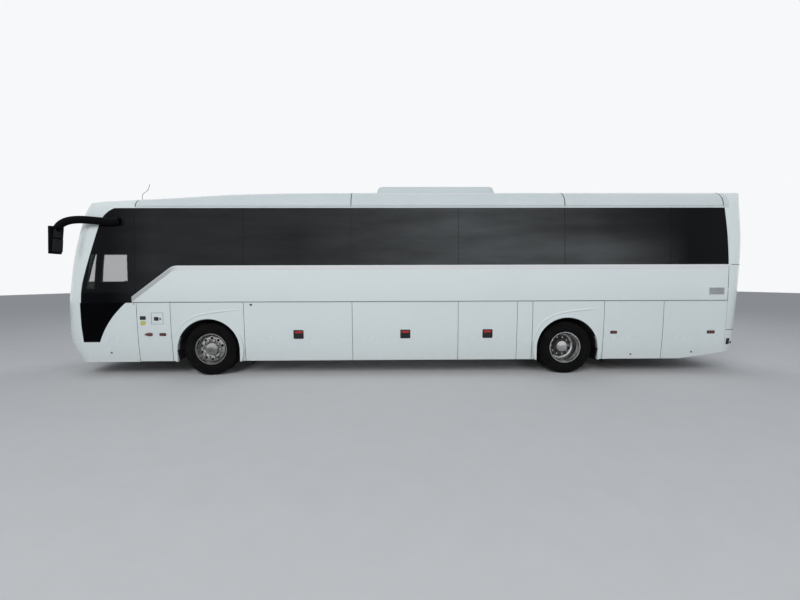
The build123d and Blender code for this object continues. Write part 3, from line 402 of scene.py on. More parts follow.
def polishedRim(name, bright, cap, brown=0.0, v=rimTone):
    # Lathe marks round the axle and a little road film; the dish is browner where brown is above 0.
    # cap gives the hub cap's own tone and its radius
    f = Finish(name)
    stain = f.noise(9.0, 5.0)
    fine = f.noise(140.0, 3.0)
    front, rear = coach["frontAxleX"], coach["rearAxleX"]
    dx = (f.x.size() - (rear - front) / 2).size() + (rear + front) / 2
    dz = f.z - coach["axleZ"]
    radius = (dx * dx + dz * dz).maths("POWER", 0.5)
    lathe = (radius * v["lathe"]).maths("SINE")
    dull = (1 - radius.ramp(*v["dish"])) * brown
    film = stain.ramp(0.42, 0.75) * 0.7
    tone = f.mix(film, bright, v["film"])
    tone = f.mix(dull * (0.75 + stain * 0.25), tone, v["brown"])
    hub = 1 - radius.ramp(cap[1] - v["capEdge"], cap[1] + v["capEdge"])
    tone = f.mix(hub, tone, grey(cap[0]))
    dull = dull * (1 - hub)
    return f.surface(Base_Color=tone, Roughness=0.17 + film * 0.25 + dull * 0.3, Metallic=1.0 - dull * 0.6,
                     Normal=f.bump(lathe * 0.5 + fine * 0.5, 0.06, 0.0006))


def tyreRubber():
    f = Finish("tyreRubber")
    dust = f.noise(5.0, 5.0)
    fine = f.noise(220.0, 3.0)
    tone = f.mix(dust.ramp(0.4, 0.75) * 0.55, (0.004, 0.004, 0.0045, 1), (0.014, 0.0135, 0.012, 1))
    return f.surface(Base_Color=tone, Roughness=0.78 + dust * 0.2, Normal=f.bump(fine, 0.25, 0.001),
                     Specular_IOR_Level=0.12)


def wovenSeat():
    # Dark blue weave with small lighter flecks
    f = Finish("seatWeave")
    warp = (f.y * 1500).maths("SINE")
    weft = ((f.z + f.x) * 1500).maths("SINE")
    fleck = f.node("TexVoronoi", inputs={"Vector": f.place, "Scale": 38.0}, out="Distance")
    tone = f.mix(1 - fleck.ramp(0.10, 0.22), (0.030, 0.045, 0.085, 1), (0.20, 0.24, 0.33, 1))
    tone = f.mix(f.noise(3.0) * 0.4, tone, (0.02, 0.028, 0.05, 1))
    return f.surface(Base_Color=tone, Roughness=0.88 + fleck * 0.05, Normal=f.bump(warp * weft, 0.35, 0.0012),
                     Sheen_Weight=0.25)


def studdedFloor():
    f = Finish("studdedFloor")
    studs = f.node("TexVoronoi", {"distance": "CHEBYCHEV"}, {"Vector": f.stretched(40, 40, 1), "Scale": 1.0,
                                                            "Randomness": 0.0}, out="Distance")
    dirt = f.noise(4.0, 5.0)
    tone = f.mix(dirt, (0.17, 0.175, 0.18, 1), (0.10, 0.095, 0.09, 1))
    return f.surface(Base_Color=tone, Roughness=0.6 + dirt * 0.25,
                     Normal=f.bump(1 - studs.ramp(0.22, 0.30), 0.4, 0.002))


def lampLens(name, colour, ribs=260.0, alpha=0.92):
    f = Finish(name)
    rib = (f.z * ribs).maths("SINE") * (f.y * ribs).maths("SINE")
    cloud = f.noise(8.0)
    tone = f.mix(cloud, shaded(colour), shaded(colour, 0.7))
    return f.surface(Base_Color=tone, Roughness=0.08 + cloud * 0.06, Alpha=alpha,
                     Normal=f.bump(rib, 0.3, 0.001), Coat_Weight=0.7)


driverPanes = ([(-5.676, 1.788), (-5.610, 2.296), (-5.180, 2.296), (-5.180, 1.788)],
               [(-5.948, 1.660), (-5.852, 2.305), (-5.737, 2.305), (-5.811, 1.660)])
finish = {
    "paint": coachPaint(),
    # the roof's white is darker than the sides' as painted shade
    "roofPaint": coachPaint("roofWhite", base="roof"),
    "liner": plainFinish("blackPrimer", (0.012, 0.012, 0.013), 0.55),
    "trim": plainFinish("satinBlackTrim", (0.016, 0.016, 0.018), 0.42, grain=220, bump=0.1),
    "glossBlack": plainFinish("glossBlackPanel", (0.002, 0.002, 0.0025), 0.2, grain=30, bump=0.02,
                              shine=0.02),
    "rubber": plainFinish("sealRubber", (0.012, 0.012, 0.012), 0.75, grain=150, bump=0.2),
    "belt": beltFilm(),
    "louvreGrey": plainFinish("louvreGrey", (0.47, 0.50, 0.50), 0.45, grain=90, bump=0.03),
    "mirrorShell": plainFinish("mirrorShell", (0.0025, 0.0025, 0.003), 0.45, grain=200, bump=0.05,
                               shine=0.05),
    "steel": plainFinish("chassisBlack", (0.028, 0.028, 0.030), 0.62, grain=25, bump=0.3, spread=0.3),
    "iron": plainFinish("engineIron", (0.10, 0.10, 0.105), 0.6, metal=0.6, grain=30, bump=0.4, spread=0.25),
    "paleYellow": plainFinish("paleYellowFilm", (0.62, 0.60, 0.16), 0.4, grain=60, bump=0.02),
    "aluminium": plainFinish("plainAluminium", (0.70, 0.71, 0.72), 0.3, metal=1.0, grain=90, bump=0.05),
    "cabinPlastic": plainFinish("cabinPlastic", (0.11, 0.115, 0.12), 0.6, grain=180, bump=0.25),
    "lining": plainFinish("paleLining", (0.42, 0.42, 0.41), 0.7, grain=90, bump=0.1),
    "mirror": plainFinish("silverMirror", (0.025, 0.026, 0.028), 0.06, metal=1.0, grain=10, bump=0.0,
                          spread=0.01),
    "tyre": tyreRubber(),
    "frontRim": polishedRim("frontRimPolished", bright=(0.40, 0.40, 0.395, 1), cap=(0.25, 0.056)),
    "rearRim": polishedRim("rearRimBrowned", bright=(0.66, 0.67, 0.68, 1), brown=1.0, cap=(0.55, 0.100)),
    "nutSteel": plainFinish("nutSteel", (0.80, 0.80, 0.79), 0.2, metal=1.0, grain=90, bump=0.05),
    "seat": wovenSeat(),
    "floorCover": studdedFloor(),
    "sideGlass": bandGlass("sideGlassTint", driverPanes),
    "rearGlass": bandGlass("rearGlassTint"),
    "doorGlass": bandGlass("doorGlassTint", alpha=0.45),
    "screen": screenGlass(),
    "amber": lampLens("amberLens", (0.85, 0.25, 0.02)),
    "darkAmber": lampLens("darkAmberLens", (0.16, 0.022, 0.010)),
    "red": lampLens("redLens", (0.55, 0.012, 0.010)),
    "white": lampLens("clearLens", (0.80, 0.82, 0.84)),
    "lampCover": bandGlass("lampCoverGlass", alpha=0.16, reflectionShare=0.0),
    "reflector": plainFinish("lampReflector", (0.75, 0.76, 0.78), 0.12, metal=1.0, grain=20, bump=0.02),
}
# which library material each finish stands for
slots = {
    "white_paint": "paint roofPaint lining louvreGrey paleYellow", "tyre_rubber": "tyre",
    "seat_fabric": "seat", "black_trim": "trim rubber belt glossBlack mirrorShell",
    "lamp_lens": "white amber red lampCover",
    "front_rim_steel": "frontRim reflector", "rear_rim_steel": "rearRim", "frame_steel": "steel",
    "engine_iron": "iron", "floor_grey": "aluminium floorCover", "clear_glass": "screen",
    "dark_glass": "sideGlass doorGlass rearGlass", "mirror_glass": "mirror",
}
slotOf = {coat: slot for slot, coats in slots.items() for coat in coats.split()}
print("finishes made:", len(finish))


# mesh helpers
def linked(name, data):
    thing = bpy.data.objects.new(name, data)
    bpy.context.scene.collection.objects.link(thing)
    return thing


def meshOf(name, shape):
    # shape is a bmesh, freed here
    mesh = bpy.data.meshes.new(name)
    shape.to_mesh(mesh)
    shape.free()
    return mesh


def asShown(piece):
    return bpy.data.meshes.new_from_object(piece.evaluated_get(bpy.context.evaluated_depsgraph_get()))


def keep(name, mesh, coats, body, slot, angle):
    # coats names the finishes, with spaces between; the slot is the first one's unless it is given
    piece = linked(name, mesh)
    for coat in coats.split():
        mesh.materials.append(finish[coat])
    mesh.shade_smooth()
    mesh.set_sharp_from_angle(angle=radians(angle))
    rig.ride(piece, body)
    slot = slot or slotOf.get(coats.split()[0])
    if slot:
        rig.slot(piece, slot)
    return piece


def fromShape(name, shape, coats, body=mainBody, slot=None, angle=30.0):
    # shape is a bmesh: doubles merged, normals made right, then kept as a piece
    bmesh.ops.remove_doubles(shape, verts=shape.verts, dist=1e-6)
    bmesh.ops.recalc_face_normals(shape, faces=shape.faces)
    return keep(name, meshOf(name, shape), coats, body, slot, angle)


def dress(node, coats, choose=None, angle=30.0, slot=None):
    # A smooth copy of a CAD node, with its loose triangles joined up
    source = nodes[node]
    mesh = source.data.copy()
    mesh.materials.clear()
    shape = bmesh.new()
    shape.from_mesh(mesh)
    bmesh.ops.remove_doubles(shape, verts=shape.verts, dist=2e-5)
    bmesh.ops.dissolve_degenerate(shape, edges=shape.edges, dist=1e-6)
    if choose:
        for face in shape.faces:
            face.material_index = choose(face.calc_center_median(), face.normal)
    shape.to_mesh(mesh)
    shape.free()
    piece = keep(node + "_skin", mesh, coats, source["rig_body"], slot, angle)
    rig.replaces(piece, node)
    return piece


def evenLight(piece):
    # The outer skin of a flat side panel gets the true normals of the body's side, and its edges stay flat
    mesh = piece.data
    normals = []
    for face in mesh.polygons:
        outer = abs(face.normal.y) > 0.9 and -0.009 < depthOf(face.center) < coach["skin"]
        for corner in face.vertices:
            point = mesh.vertices[corner].co
            smooth = Vector((0, 1 if point.y > 0 else -1, -sideSlope(point.z))).normalized()
            normals.append(smooth if outer else face.normal.copy())
    mesh.normals_split_custom_set(normals)


def weighNormals(piece):
    # Large faces lead the shading, so that narrow ones beside them leave no streaks
    weigh = piece.modifiers.new("weigh", "WEIGHTED_NORMAL")
    weigh.keep_sharp, weigh.weight, weigh.mode = True, 90, "FACE_AREA"
    mesh = asShown(piece)
    piece.modifiers.clear()
    piece.data = mesh


def bridge(shape, rows, around=False, index=0):
    # Faces from each row of verts to the next; around also joins a row's last vert to its first
    for one, two in zip(rows, rows[1:]):
        for a in range(len(one) if around else len(one) - 1):
            b = (a + 1) % len(one)
            shape.faces.new((one[a], one[b], two[b], two[a])).material_index = index


def fan(shape, loop, hub, index=0):
    for a, b in zip(loop, loop[1:] + loop[:1]):
        shape.faces.new((a, b, hub)).material_index = index


def addBand(shape, rows):
    # A closed band from rows of verts: joined along their length and at both ends
    bridge(shape, rows + rows[:1])
    for end in (0, -1):
        shape.faces.new([row[end] for row in rows])


def addBlock(shape, low, high, bevel, steps=2, turn=None):
    made = bmesh.ops.create_cube(shape, size=1.0)["verts"]
    centre = [(a + b) / 2 for a, b in zip(low, high)]
    sizes = [abs(b - a) for a, b in zip(low, high)]
    for vert in made:
        vert.co = Vector([c + s * k for c, s, k in zip(centre, sizes, vert.co)])
    if turn:
        bmesh.ops.rotate(shape, verts=made, cent=centre, matrix=turn)
    edges = list({edge for vert in made for edge in vert.link_edges})
    bmesh.ops.bevel(shape, geom=edges, offset=bevel, segments=steps, affect="EDGES", profile=0.6)


def sideRow(shape, line, side, out):
    # Verts along (x, z) points on the body side, standing out by out
    return [shape.verts.new(onSide(x, z, side, out)) for x, z in line]


def addPlate(shape, outline, side, out, depth, index=0):
    # Outline of (x, z) points on the body side: its face stands out by out and goes back by depth
    rows = [sideRow(shape, outline, side, out), sideRow(shape, outline, side, out - depth)]
    bridge(shape, rows, True, index)
    for row in rows:
        shape.faces.new(row).material_index = index


def platePiece(name, side, plates, coats, body=mainBody, slot=None):
    # plates: outline, how far it stands out, how deep it goes, and its finish where that isn't the first
    shape = bmesh.new()
    for outline, *rest in plates:
        addPlate(shape, outline, side, *rest)
    fromShape(name, shape, coats, body, slot)


def sharpBox(x0, x1, z0, z1):
    return [(x1, z1), (x0, z1), (x0, z0), (x1, z0)]


def roundedBox(cx, cz, w, h, r, steps=5):
    # Outline of a rounded rectangle
    points = []
    for sx, sz, start in ((1, 1, 0), (-1, 1, 90), (-1, -1, 180), (1, -1, 270)):
        for k in range(steps + 1):
            a = radians(start + 90 * k / steps)
            points.append((cx + sx * (w / 2 - r) + r * cos(a), cz + sz * (h / 2 - r) + r * sin(a)))
    return points


def ringOutline(cx, cz, r, count=20):
    return [(cx + r * cos(2 * pi * k / count), cz + r * sin(2 * pi * k / count)) for k in range(count)]


def addRevolved(shape, profile, centre, axis, steps):
    # profile is (radius, distance along the axis); its ends are joined unless it ends on the axis
    axis = Vector(axis).normalized()
    u = axis.orthogonal().normalized()
    v = axis.cross(u)
    rings = []
    for k in range(steps):
        around = u * cos(2 * pi * k / steps) + v * sin(2 * pi * k / steps)
        rings.append([shape.verts.new(Vector(centre) + around * r + axis * d) for r, d in profile])
    bridge(shape, rings + rings[:1], profile[-1][0] > 0)
    bmesh.ops.remove_doubles(shape, verts=[vert for ring in rings for vert in ring], dist=1e-7)


# what is turned: steps round the axis, then the profile
turned = {
    "washer": (16, (0, -0.004), (0.0265, -0.004), (0.0265, 0.0035), (0, 0.0035)),
    "nut": (6, (0, 0.002), (0.0190, 0.002), (0.0190, 0.024), (0.0135, 0.030), (0, 0.032)),
    "frontHub": (40, (0.060, 0.117), (0.064, 0.121), (0.064, 0.125), (0.056, 0.130), (0.030, 0.135),
                 (0, 0.136)),
    "rearHub": (40, (0.072, 0.0015), (0.076, 0.0045), (0.076, 0.0115), (0.066, 0.0175), (0.030, 0.0225),
                (0, 0.023)),
    "archLip": (96, (0.588, -0.002), (0.588, 0.004), (0.592, 0.011), (0.603, 0.0155), (0.616, 0.014),
                (0.628, 0.008), (0.636, 0.002), (0.636, -0.002)),
    "lampBowl": (40, (0.078, 0.0), (0.075, 0.002), (0.068, -0.006), (0.055, -0.026), (0.034, -0.036),
                 (0.034, -0.040), (0.078, -0.040)),
    "lampLens": (32, (0.033, -0.036), (0.033, -0.018), (0.028, -0.010), (0.016, -0.005), (0, -0.003)),
    "fogLamp": (32, (0.058, -0.006), (0.058, 0.006), (0.050, 0.009), (0.047, 0.004), (0, 0.007)),
    "wiperPivot": (20, (0.026, -0.016), (0.026, 0.004), (0.020, 0.010), (0, 0.012)),
    "tailLens": (36, (0.060, -0.004), (0.060, 0.005), (0.054, 0.010), (0.051, 0.006), (0.030, 0.012),
                 (0, 0.014)),
    "antennaFoot": (24, (0.034, -0.006), (0.034, 0.008), (0.022, 0.030), (0.012, 0.040), (0, 0.042)),
}


def addTurned(shape, name, centre, axis):
    steps, *profile = turned[name]
    addRevolved(shape, profile, centre, axis, steps)


def addTube(shape, points, radius, sides, flat=1.0):
    # A round rod along points, with closed ends; flat squeezes it in height
    points = [Vector(p) for p in points]
    rings = []
    for k, point in enumerate(points):
        ahead = (points[min(k + 1, len(points) - 1)] - points[max(k - 1, 0)]).normalized()
        across = ahead.cross(Vector((0, 0, 1)))
        across = across.normalized() if across.length > 1e-4 else Vector((1, 0, 0))
        up = across.cross(ahead) * flat
        turns = [2 * pi * s / sides for s in range(sides)]
        rings.append([shape.verts.new(point + (across * cos(a) + up * sin(a)) * radius) for a in turns])
    bridge(shape, rings, True)
    for ring in (rings[0], rings[-1]):
        shape.faces.new(ring)


def curved(points, steps):
    # Smooth line through points, Catmull-Rom
    points = [Vector(p) for p in points]
    padded = [points[0] * 2 - points[1]] + points + [points[-1] * 2 - points[-2]]
    line = []
    for a, b, c, d in zip(padded, padded[1:], padded[2:], padded[3:]):
        for k in range(steps):
            t = k / steps
            line.append(0.5 * (2 * b + (c - a) * t + (2 * a - 5 * b + 4 * c - d) * t * t
                               + (3 * b - a - 3 * c + d) * t ** 3))
    return line + [points[-1]]


def flatCurve(points, steps):
    return [(p.x, p.y) for p in curved([(a, b, 0) for a, b in points], steps)]


# Geometry Nodes: what repeats in a row or round an axle
class Layout(Tree):
    def __init__(self, name, more):
        group = bpy.data.node_groups.new(name, "GeometryNodeTree")
        super().__init__(group)
        group.interface.new_socket("Geometry", in_out="OUTPUT", socket_type="NodeSocketGeometry")
        self.entries = {}
        for key, kind in {"Unit": "Object", "Count": "Int", "Material": "Material", **more}.items():
            socket = group.interface.new_socket(key, in_out="INPUT", socket_type="NodeSocket" + kind)
            self.entries[key] = socket.identifier
        self.source = group.nodes.new("NodeGroupInput")

    def fill(self, points, **more):
        # The unit at each point, made real and given its material
        unit = self.node("GeometryNodeObjectInfo", inputs={"Object": "Unit"}, out="Geometry")
        spread = self.node("GeometryNodeInstanceOnPoints",
                           inputs={"Points": points, "Instance": unit, **more})
        real = self.node("GeometryNodeRealizeInstances", inputs={"Geometry": spread})
        coat = self.node("GeometryNodeSetMaterial", inputs={"Geometry": real, "Material": "Material"})
        self.node("NodeGroupOutput", inputs={0: coat}, out=None)


def makeRow():
    row = Layout("evenRow", {"Start": "Vector", "Step": "Vector"})
    row.fill(row.node("GeometryNodeMeshLine", {"mode": "OFFSET"},
                      {"Count": "Count", "Start Location": "Start", "Offset": "Step"}))
    return row


def makeRing():
    # Units round the Y axis through Centre, each turned with its place
    ring = Layout("roundAxle", {"Radius": "Float", "Centre": "Vector"})
    points = ring.node("GeometryNodePoints", inputs={"Count": "Count"})
    index = ring.node("GeometryNodeInputIndex")
    share = ring.node("ShaderNodeMath", {"operation": "DIVIDE"}, {0: index, 1: "Count"})
    turn = ring.node("ShaderNodeMath", {"operation": "MULTIPLY"}, {0: share, 1: 2 * pi})
    spin = ring.node("ShaderNodeCombineXYZ", inputs={1: turn})
    arm = ring.node("ShaderNodeCombineXYZ", inputs={0: "Radius"})
    swung = ring.node("ShaderNodeVectorRotate", {"rotation_type": "EULER_XYZ"},
                      {"Vector": arm, "Rotation": spin})
    place = ring.node("ShaderNodeVectorMath", {"operation": "ADD"}, {0: swung, 1: "Centre"})
    moved = ring.node("GeometryNodeSetPosition", inputs={"Geometry": points, "Position": place})
    ring.fill(moved, Rotation=spin)
    return ring


rowLayout, ringLayout = makeRow(), makeRing()


def repeat(name, unitShape, layout, values, coats, body=mainBody, slot=None, angle=30.0):
    # unitShape is a bmesh round the origin; the result is one plain mesh
    bmesh.ops.recalc_face_normals(unitShape, faces=unitShape.faces)
    unit = linked(name + "Unit", meshOf(name + "Unit", unitShape))
    holder = linked(name + "Holder", bpy.data.meshes.new(name + "Holder"))
    modifier = holder.modifiers.new("layout", "NODES")
    modifier.node_group = layout.tree
    for key, value in {**values, "Unit": unit, "Material": finish[coats]}.items():
        modifier[layout.entries[key]] = value
    bpy.context.view_layer.update()
    mesh = asShown(holder)
    for one in (holder, unit):
        bpy.data.objects.remove(one)
    mesh.name = name
    mesh.materials.clear()
    return keep(name, mesh, coats, body, slot, angle)


def rowBetween(name, unitShape, count, low, high, coats, body=mainBody):
    step = tuple((b - a) / (count - 1) for a, b in zip(low, high))
    repeat(name, unitShape, rowLayout, {"Count": count, "Start": tuple(low), "Step": step}, coats, body)


# body panels: smooth copies of the CAD nodes. Each choice numbers a face's finish from its centre and normal
def bySkin(lined=9.0, flat=-1.0):
    # 0 on the outer skin, 2 on faces deeper than lined that face the side by more than flat, 1 on the others
    def choose(centre, normal):
        depth = depthOf(centre)
        if depth < coach["skin"]:
            return 0
        return 2 if depth > lined and abs(normal.y) > flat else 1
    return choose


def byWay(way, least=0.9):
    # 1 where the normal points along x, the way given, by more than least
    return lambda centre, normal: int(normal.x * way > least)


def roofFace(centre, normal):
    # 1 on the lined underside
    return int(centre.z < 3.44 and normal.z < -0.3)


def deckFace(centre, normal):
    # 0 on what is walked on, 1 on risers, undersides and the wheel housings
    return int(normal.z <= 0.7)


panels = (
    ("roof_shell", "roofPaint lining", roofFace, weighNormals),
    ("roof_unit", "roofPaint", None, weighNormals),
    ("front_mask front_bumper", "paint liner", byWay(1), weighNormals),
    ("rear_wall rear_bumper engine_lid", "paint liner", byWay(-1), weighNormals),
    ("filler_lid", "paint liner", byWay(1, 0.45), weighNormals),
    ("wall_left wall_right", "paint liner lining", bySkin(0.045), evenLight),
    ("skirt_left skirt_right luggage_door_left_front luggage_door_left_middle luggage_door_left_rear "
     "luggage_door_right_front luggage_door_right_rear service_flap_left rear_flap_left_front "
     "rear_flap_left_rear rear_flap_right", "paint liner", bySkin(), evenLight),
    ("front_door mid_door", "paint rubber lining", bySkin(0.040, 0.9), evenLight),
    ("corner_panels", "glossBlack", None, weighNormals),
    ("side_glass_left side_glass_right", "sideGlass", None, evenLight),
    ("front_door_glass mid_door_glass", "doorGlass", None, evenLight),
    ("rear_window", "rearGlass", None, weighNormals),
    ("windscreen", "screen", None, None),
    ("mirror_glasses", "mirror", None, None),
    ("luggage_bay", "aluminium", None, None),
    ("cabin_floor", "floorCover liner", deckFace, None),
    ("underframe front_axle rear_axle knuckle_left knuckle_right front_door_post mid_door_post", "steel",
     None, None),
    ("engine", "iron", None, None),
)
for names, coats, choose, shade in panels:
    for node in names.split():
        piece = dress(node, coats, choose)
        if shade:
            shade(piece)
dress("mirror_arms", "mirrorShell", angle=40)
dress("dashboard", "cabinPlastic", slot="black_trim")
dress("luggage_racks", "lining", slot="black_trim")
print("body panels dressed")

# camera, floor and light
cameraSet = {"lens": 15.03, "place": (-0.160, -7.575, 1.764), "down": 3.0, "yaw": 0.6, "roll": 0.18}


def makeCamera(c):
    data = bpy.data.cameras.new("camera")
    data.sensor_width, data.lens = 36.0, c["lens"]
    data.clip_start, data.clip_end = 0.1, 200
    camera = linked("camera", data)
    yaw, down, roll = (radians(c[key]) for key in ("yaw", "down", "roll"))
    ahead = Vector((sin(yaw) * cos(down), cos(yaw) * cos(down), -sin(down)))
    right = ahead.cross(Vector((0, 0, 1))).normalized()
    up = right.cross(ahead)
    right, up = right * cos(roll) - up * sin(roll), up * cos(roll) + right * sin(roll)
    turn = Matrix((right, up, -ahead)).transposed()
    camera.matrix_world = Matrix.Translation(c["place"]) @ turn.to_4x4()
    bpy.context.scene.camera = camera


makeCamera(cameraSet)

studio = {
    "floorHalf": 60.0, "floorZ": -0.0005, "floorTone": 0.70, "sky": 0.62, "backdrop": (0.93, 0.94, 0.95, 1),
    "stops": ((0.0, (0.72, 0.73, 0.75, 1)), (0.5, (0.42, 0.46, 0.52, 1))),
    "lamps": (("key", (-5.0, -13.0, 10.0), 9.0, 900, (0, 0, 1.2)),
              ("fill", (7.0, -10.0, 7.0), 8.0, 230, (1, 0, 1.2)),
              ("back", (2.0, 12.0, 9.0), 10.0, 700, (0, 0, 1.5))),
}


def makeFloor(v):
    shape = bmesh.new()
    h = v["floorHalf"]
    shape.faces.new([shape.verts.new((x, y, v["floorZ"])) for x, y in ((-h, -h), (h, -h), (h, h), (-h, h))])
    f = Finish("studioFloorTone")
    fine = f.noise(3.0, 4.0)
    tone = f.mix(fine, grey(v["floorTone"]), grey(v["floorTone"] * 0.93))
    floor = linked("studioFloor", meshOf("studioFloor", shape))
    floor.data.materials.append(f.surface(Base_Color=tone, Roughness=0.9 + fine * 0.05))
    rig.stage(floor)


makeFloor(studio)


def makeLight(v):
    world = bpy.data.worlds.new("softStudio")
    bpy.context.scene.world = world
    world.use_nodes = True
    w = Tree(world.node_tree, "ShaderNode")
    height = w.node("SeparateXYZ", inputs={0: w.node("TexCoord", out="Generated")}, out="Z")
    ramp = w.node("ValToRGB", inputs={0: height}, out=None)
    for stop, (position, colour) in zip(ramp.color_ramp.elements, v["stops"]):
        stop.position, stop.color = position, colour
    sky = w.node("Background", inputs={"Color": Num(w, ramp.outputs[0]), "Strength": v["sky"]})
    backdrop = w.node("Background", inputs={"Color": v["backdrop"]})
    rays = w.node("LightPath", out=None)
    seen = Num(w, rays.outputs["Is Camera Ray"])
    for kind in ("Is Glossy Ray", "Is Transmission Ray"):
        seen = seen.most(Num(w, rays.outputs[kind]))
    mixed = w.node("MixShader", inputs={0: seen, 1: sky, 2: backdrop})
    w.node("OutputWorld", inputs={"Surface": mixed}, out=None)
    for name, place, size, watts, aim in v["lamps"]:
        lamp = bpy.data.lights.new(name, "AREA")
        lamp.shape, lamp.size, lamp.energy = "DISK", size, watts
        holder = linked(name, lamp)
        holder.visible_glossy = False
        turn = (Vector(aim) - Vector(place)).to_track_quat("-Z", "Y").to_matrix()
        holder.matrix_world = Matrix.Translation(place) @ turn.to_4x4()


makeLight(studio)
bpy.context.scene.view_settings.view_transform = "Standard"
print("camera, floor and light set")

# finding a CAD surface: a ray to one node
rayTrees = {}


def touch(node, start, way):
    # Where a ray from start meets the node, and the outward normal there
    if node not in rayTrees:
        source = nodes[node].data
        rayTrees[node] = BVHTree.FromPolygons([v.co.copy() for v in source.vertices],
                                              [list(p.vertices) for p in source.polygons])
    place, normal, _, _ = rayTrees[node].ray_cast(Vector(start), Vector(way).normalized())
    if place is None:
        raise ValueError("no surface of %s from %s" % (node, tuple(start)))
    return place, normal if normal.dot(Vector(way)) < 0 else -normal


def skinOf(node, x=0, y=0):
    # place(a, b, out) on a node met by rays along x, where a is y, or along y, where a is x
    def place(a, b, out=0.0):
        spot, normal = touch(node, (-9 * x, a, b) if x else (a, -3 * y, b), (x, y, 0))
        return spot + normal * out
    return place


def addSkin(shape, place, outline, depth, index=0, rings=3):
    # A plate that follows a curved face: outline points (a, b) run through place(a, b, out)
    ma, mb = (sum(p[axis] for p in outline) / len(outline) for axis in (0, 1))
    loops = [[shape.verts.new(place(a, b, -0.002)) for a, b in outline]]
    for ring in range(rings, 0, -1):
        share = ring / rings
        loops.append([shape.verts.new(place(ma + (a - ma) * share, mb + (b - mb) * share, depth))
                      for a, b in outline])
    bridge(shape, loops, True, index)
    fan(shape, loops[-1], shape.verts.new(place(ma, mb, depth)), index)


def skinPiece(name, place, boxes, depth, coats, body=mainBody, rings=3):
    # boxes: middle, size and corner radius of rounded boxes on the face that place gives
    shape = bmesh.new()
    for box in boxes:
        addSkin(shape, place, roundedBox(*box), depth, rings=rings)
    fromShape(name, shape, coats, body)


# wheels
wheel = {
    "bead": 0.286, "tread": 0.500, "halfWidth": 0.1475, "grooves": (-0.075, -0.027, 0.027, 0.075),
    "grooveWide": 0.010, "grooveDeep": 0.013, "steps": 96,
    "foot": ((0.298, 0.096), (0.304, 0.104), (0.3125, 0.118), (0.3165, 0.1235), (0.322, 0.1255),
             (0.328, 0.1250), (0.331, 0.1270)),
    "wall": (0.345, 0.358, 0.372, 0.385, 0.400, 0.415, 0.430, 0.444, 0.458), "widest": 0.395,
    "bulge": (4.9, 2.76), "ribs": (0.372, 0.430), "ribHigh": 0.0012,
    "shoulder": ((0.470, 0.1310), (0.479, 0.1265), (0.487, 0.1200), (0.4935, 0.1110), (0.4985, 0.1015),
                 (0.500, 0.0970)),
    "lugs": 58, "lugRadius": 0.4875, "lugY": 0.1165, "nuts": 10, "nutCircle": 0.1675,
}
# face is how far out from the wheel's middle the nuts sit, and valve where its valve begins and ends:
# out, x and z
wheelEnds = {
    "front": {"x": coach["frontAxleX"], "centres": (coach["wheelY"],), "face": 0.080,
              "valve": ((0.060, 0.150, 0.185), (0.100, 0.156, 0.192))},
    "rear": {"x": coach["rearAxleX"], "centres": (coach["wheelY"], coach["innerWheelY"]), "face": -0.1375,
             "valve": ((-0.05, 0.150, 0.185), (0.02, 0.156, 0.192))},
}


def tyreProfile(w):
    side = [(w["bead"], 0.080)] + list(w["foot"])
    for r in w["wall"]:
        side.append((r, w["halfWidth"] - w["bulge"][r > w["widest"]] * (r - w["widest"]) ** 2))
        if r in w["ribs"]:
            out = side[-1][1] + w["ribHigh"]
            side += [(r + 0.001, out), (r + 0.004, out)]
    side += w["shoulder"]
    tread = []
    for centre in reversed(w["grooves"]):
        a, b, deep = centre + w["grooveWide"] / 2, centre - w["grooveWide"] / 2, w["tread"] - w["grooveDeep"]
        tread += [(w["tread"], a + 0.0015), (w["tread"] - 0.002, a), (deep, a - 0.002), (deep, b + 0.002),
                  (w["tread"] - 0.002, b), (w["tread"], b - 0.0015)]
    return side + tread + [(r, -d) for r, d in reversed(side)]


def lugUnit():
    shape = bmesh.new()
    addBlock(shape, (-0.013, -0.012, -0.0165), (0.0085, 0.012, 0.0165), 0.003, 1)
    return shape


def turnedUnit(name, way):
    shape = bmesh.new()
    addTurned(shape, name, (0, 0, 0), (0, way, 0))
    return shape


def makeWheel(end, hand):
    v = wheelEnds[end]
    side = -1 if hand == "left" else 1
    tag = "%s_%s" % (end, hand)
    body, rim, way = "wheel_" + tag, end + "Rim", (0, side, 0)

    def at(y, dx=0.0, dz=0.0):
        return (v["x"] + dx, side * y, coach["axleZ"] + dz)

    shape = bmesh.new()
    for y in v["centres"]:
        addRevolved(shape, tyreProfile(wheel), at(y), way, wheel["steps"])
    tyre = fromShape("tyre_%s_dressed" % tag, shape, "tyre", body, angle=24)
    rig.replaces(tyre, "tyre_" + tag)
    for k, y in enumerate(v["centres"]):
        for edge in (-1, 1):
            values = {"Count": wheel["lugs"], "Radius": wheel["lugRadius"],
                      "Centre": at(y + side * edge * wheel["lugY"])}
            repeat("lugs_%s_%d%s" % (tag, k, "ab"[edge > 0]), lugUnit(), ringLayout, values, "tyre", body)
    dress("rim_" + tag, rim, angle=24)
    values = {"Count": wheel["nuts"], "Radius": wheel["nutCircle"], "Centre": at(coach["wheelY"] + v["face"])}
    for name, coat in (("washer", "steel"), ("nut", "nutSteel")):
        repeat("%ss_%s" % (name, tag), turnedUnit(name, side), ringLayout, values, coat, body, slotOf[rim])
    hub = bmesh.new()
    addTurned(hub, end + "Hub", at(coach["wheelY"]), way)
    addTube(hub, [at(coach["wheelY"] + y, x, z) for y, x, z in v["valve"]], 0.005, 8)
    fromShape("hub_" + tag, hub, rim, body)


for end in ("front", "rear"):
    for hand in ("left", "right"):
        makeWheel(end, hand)
print("wheels made")

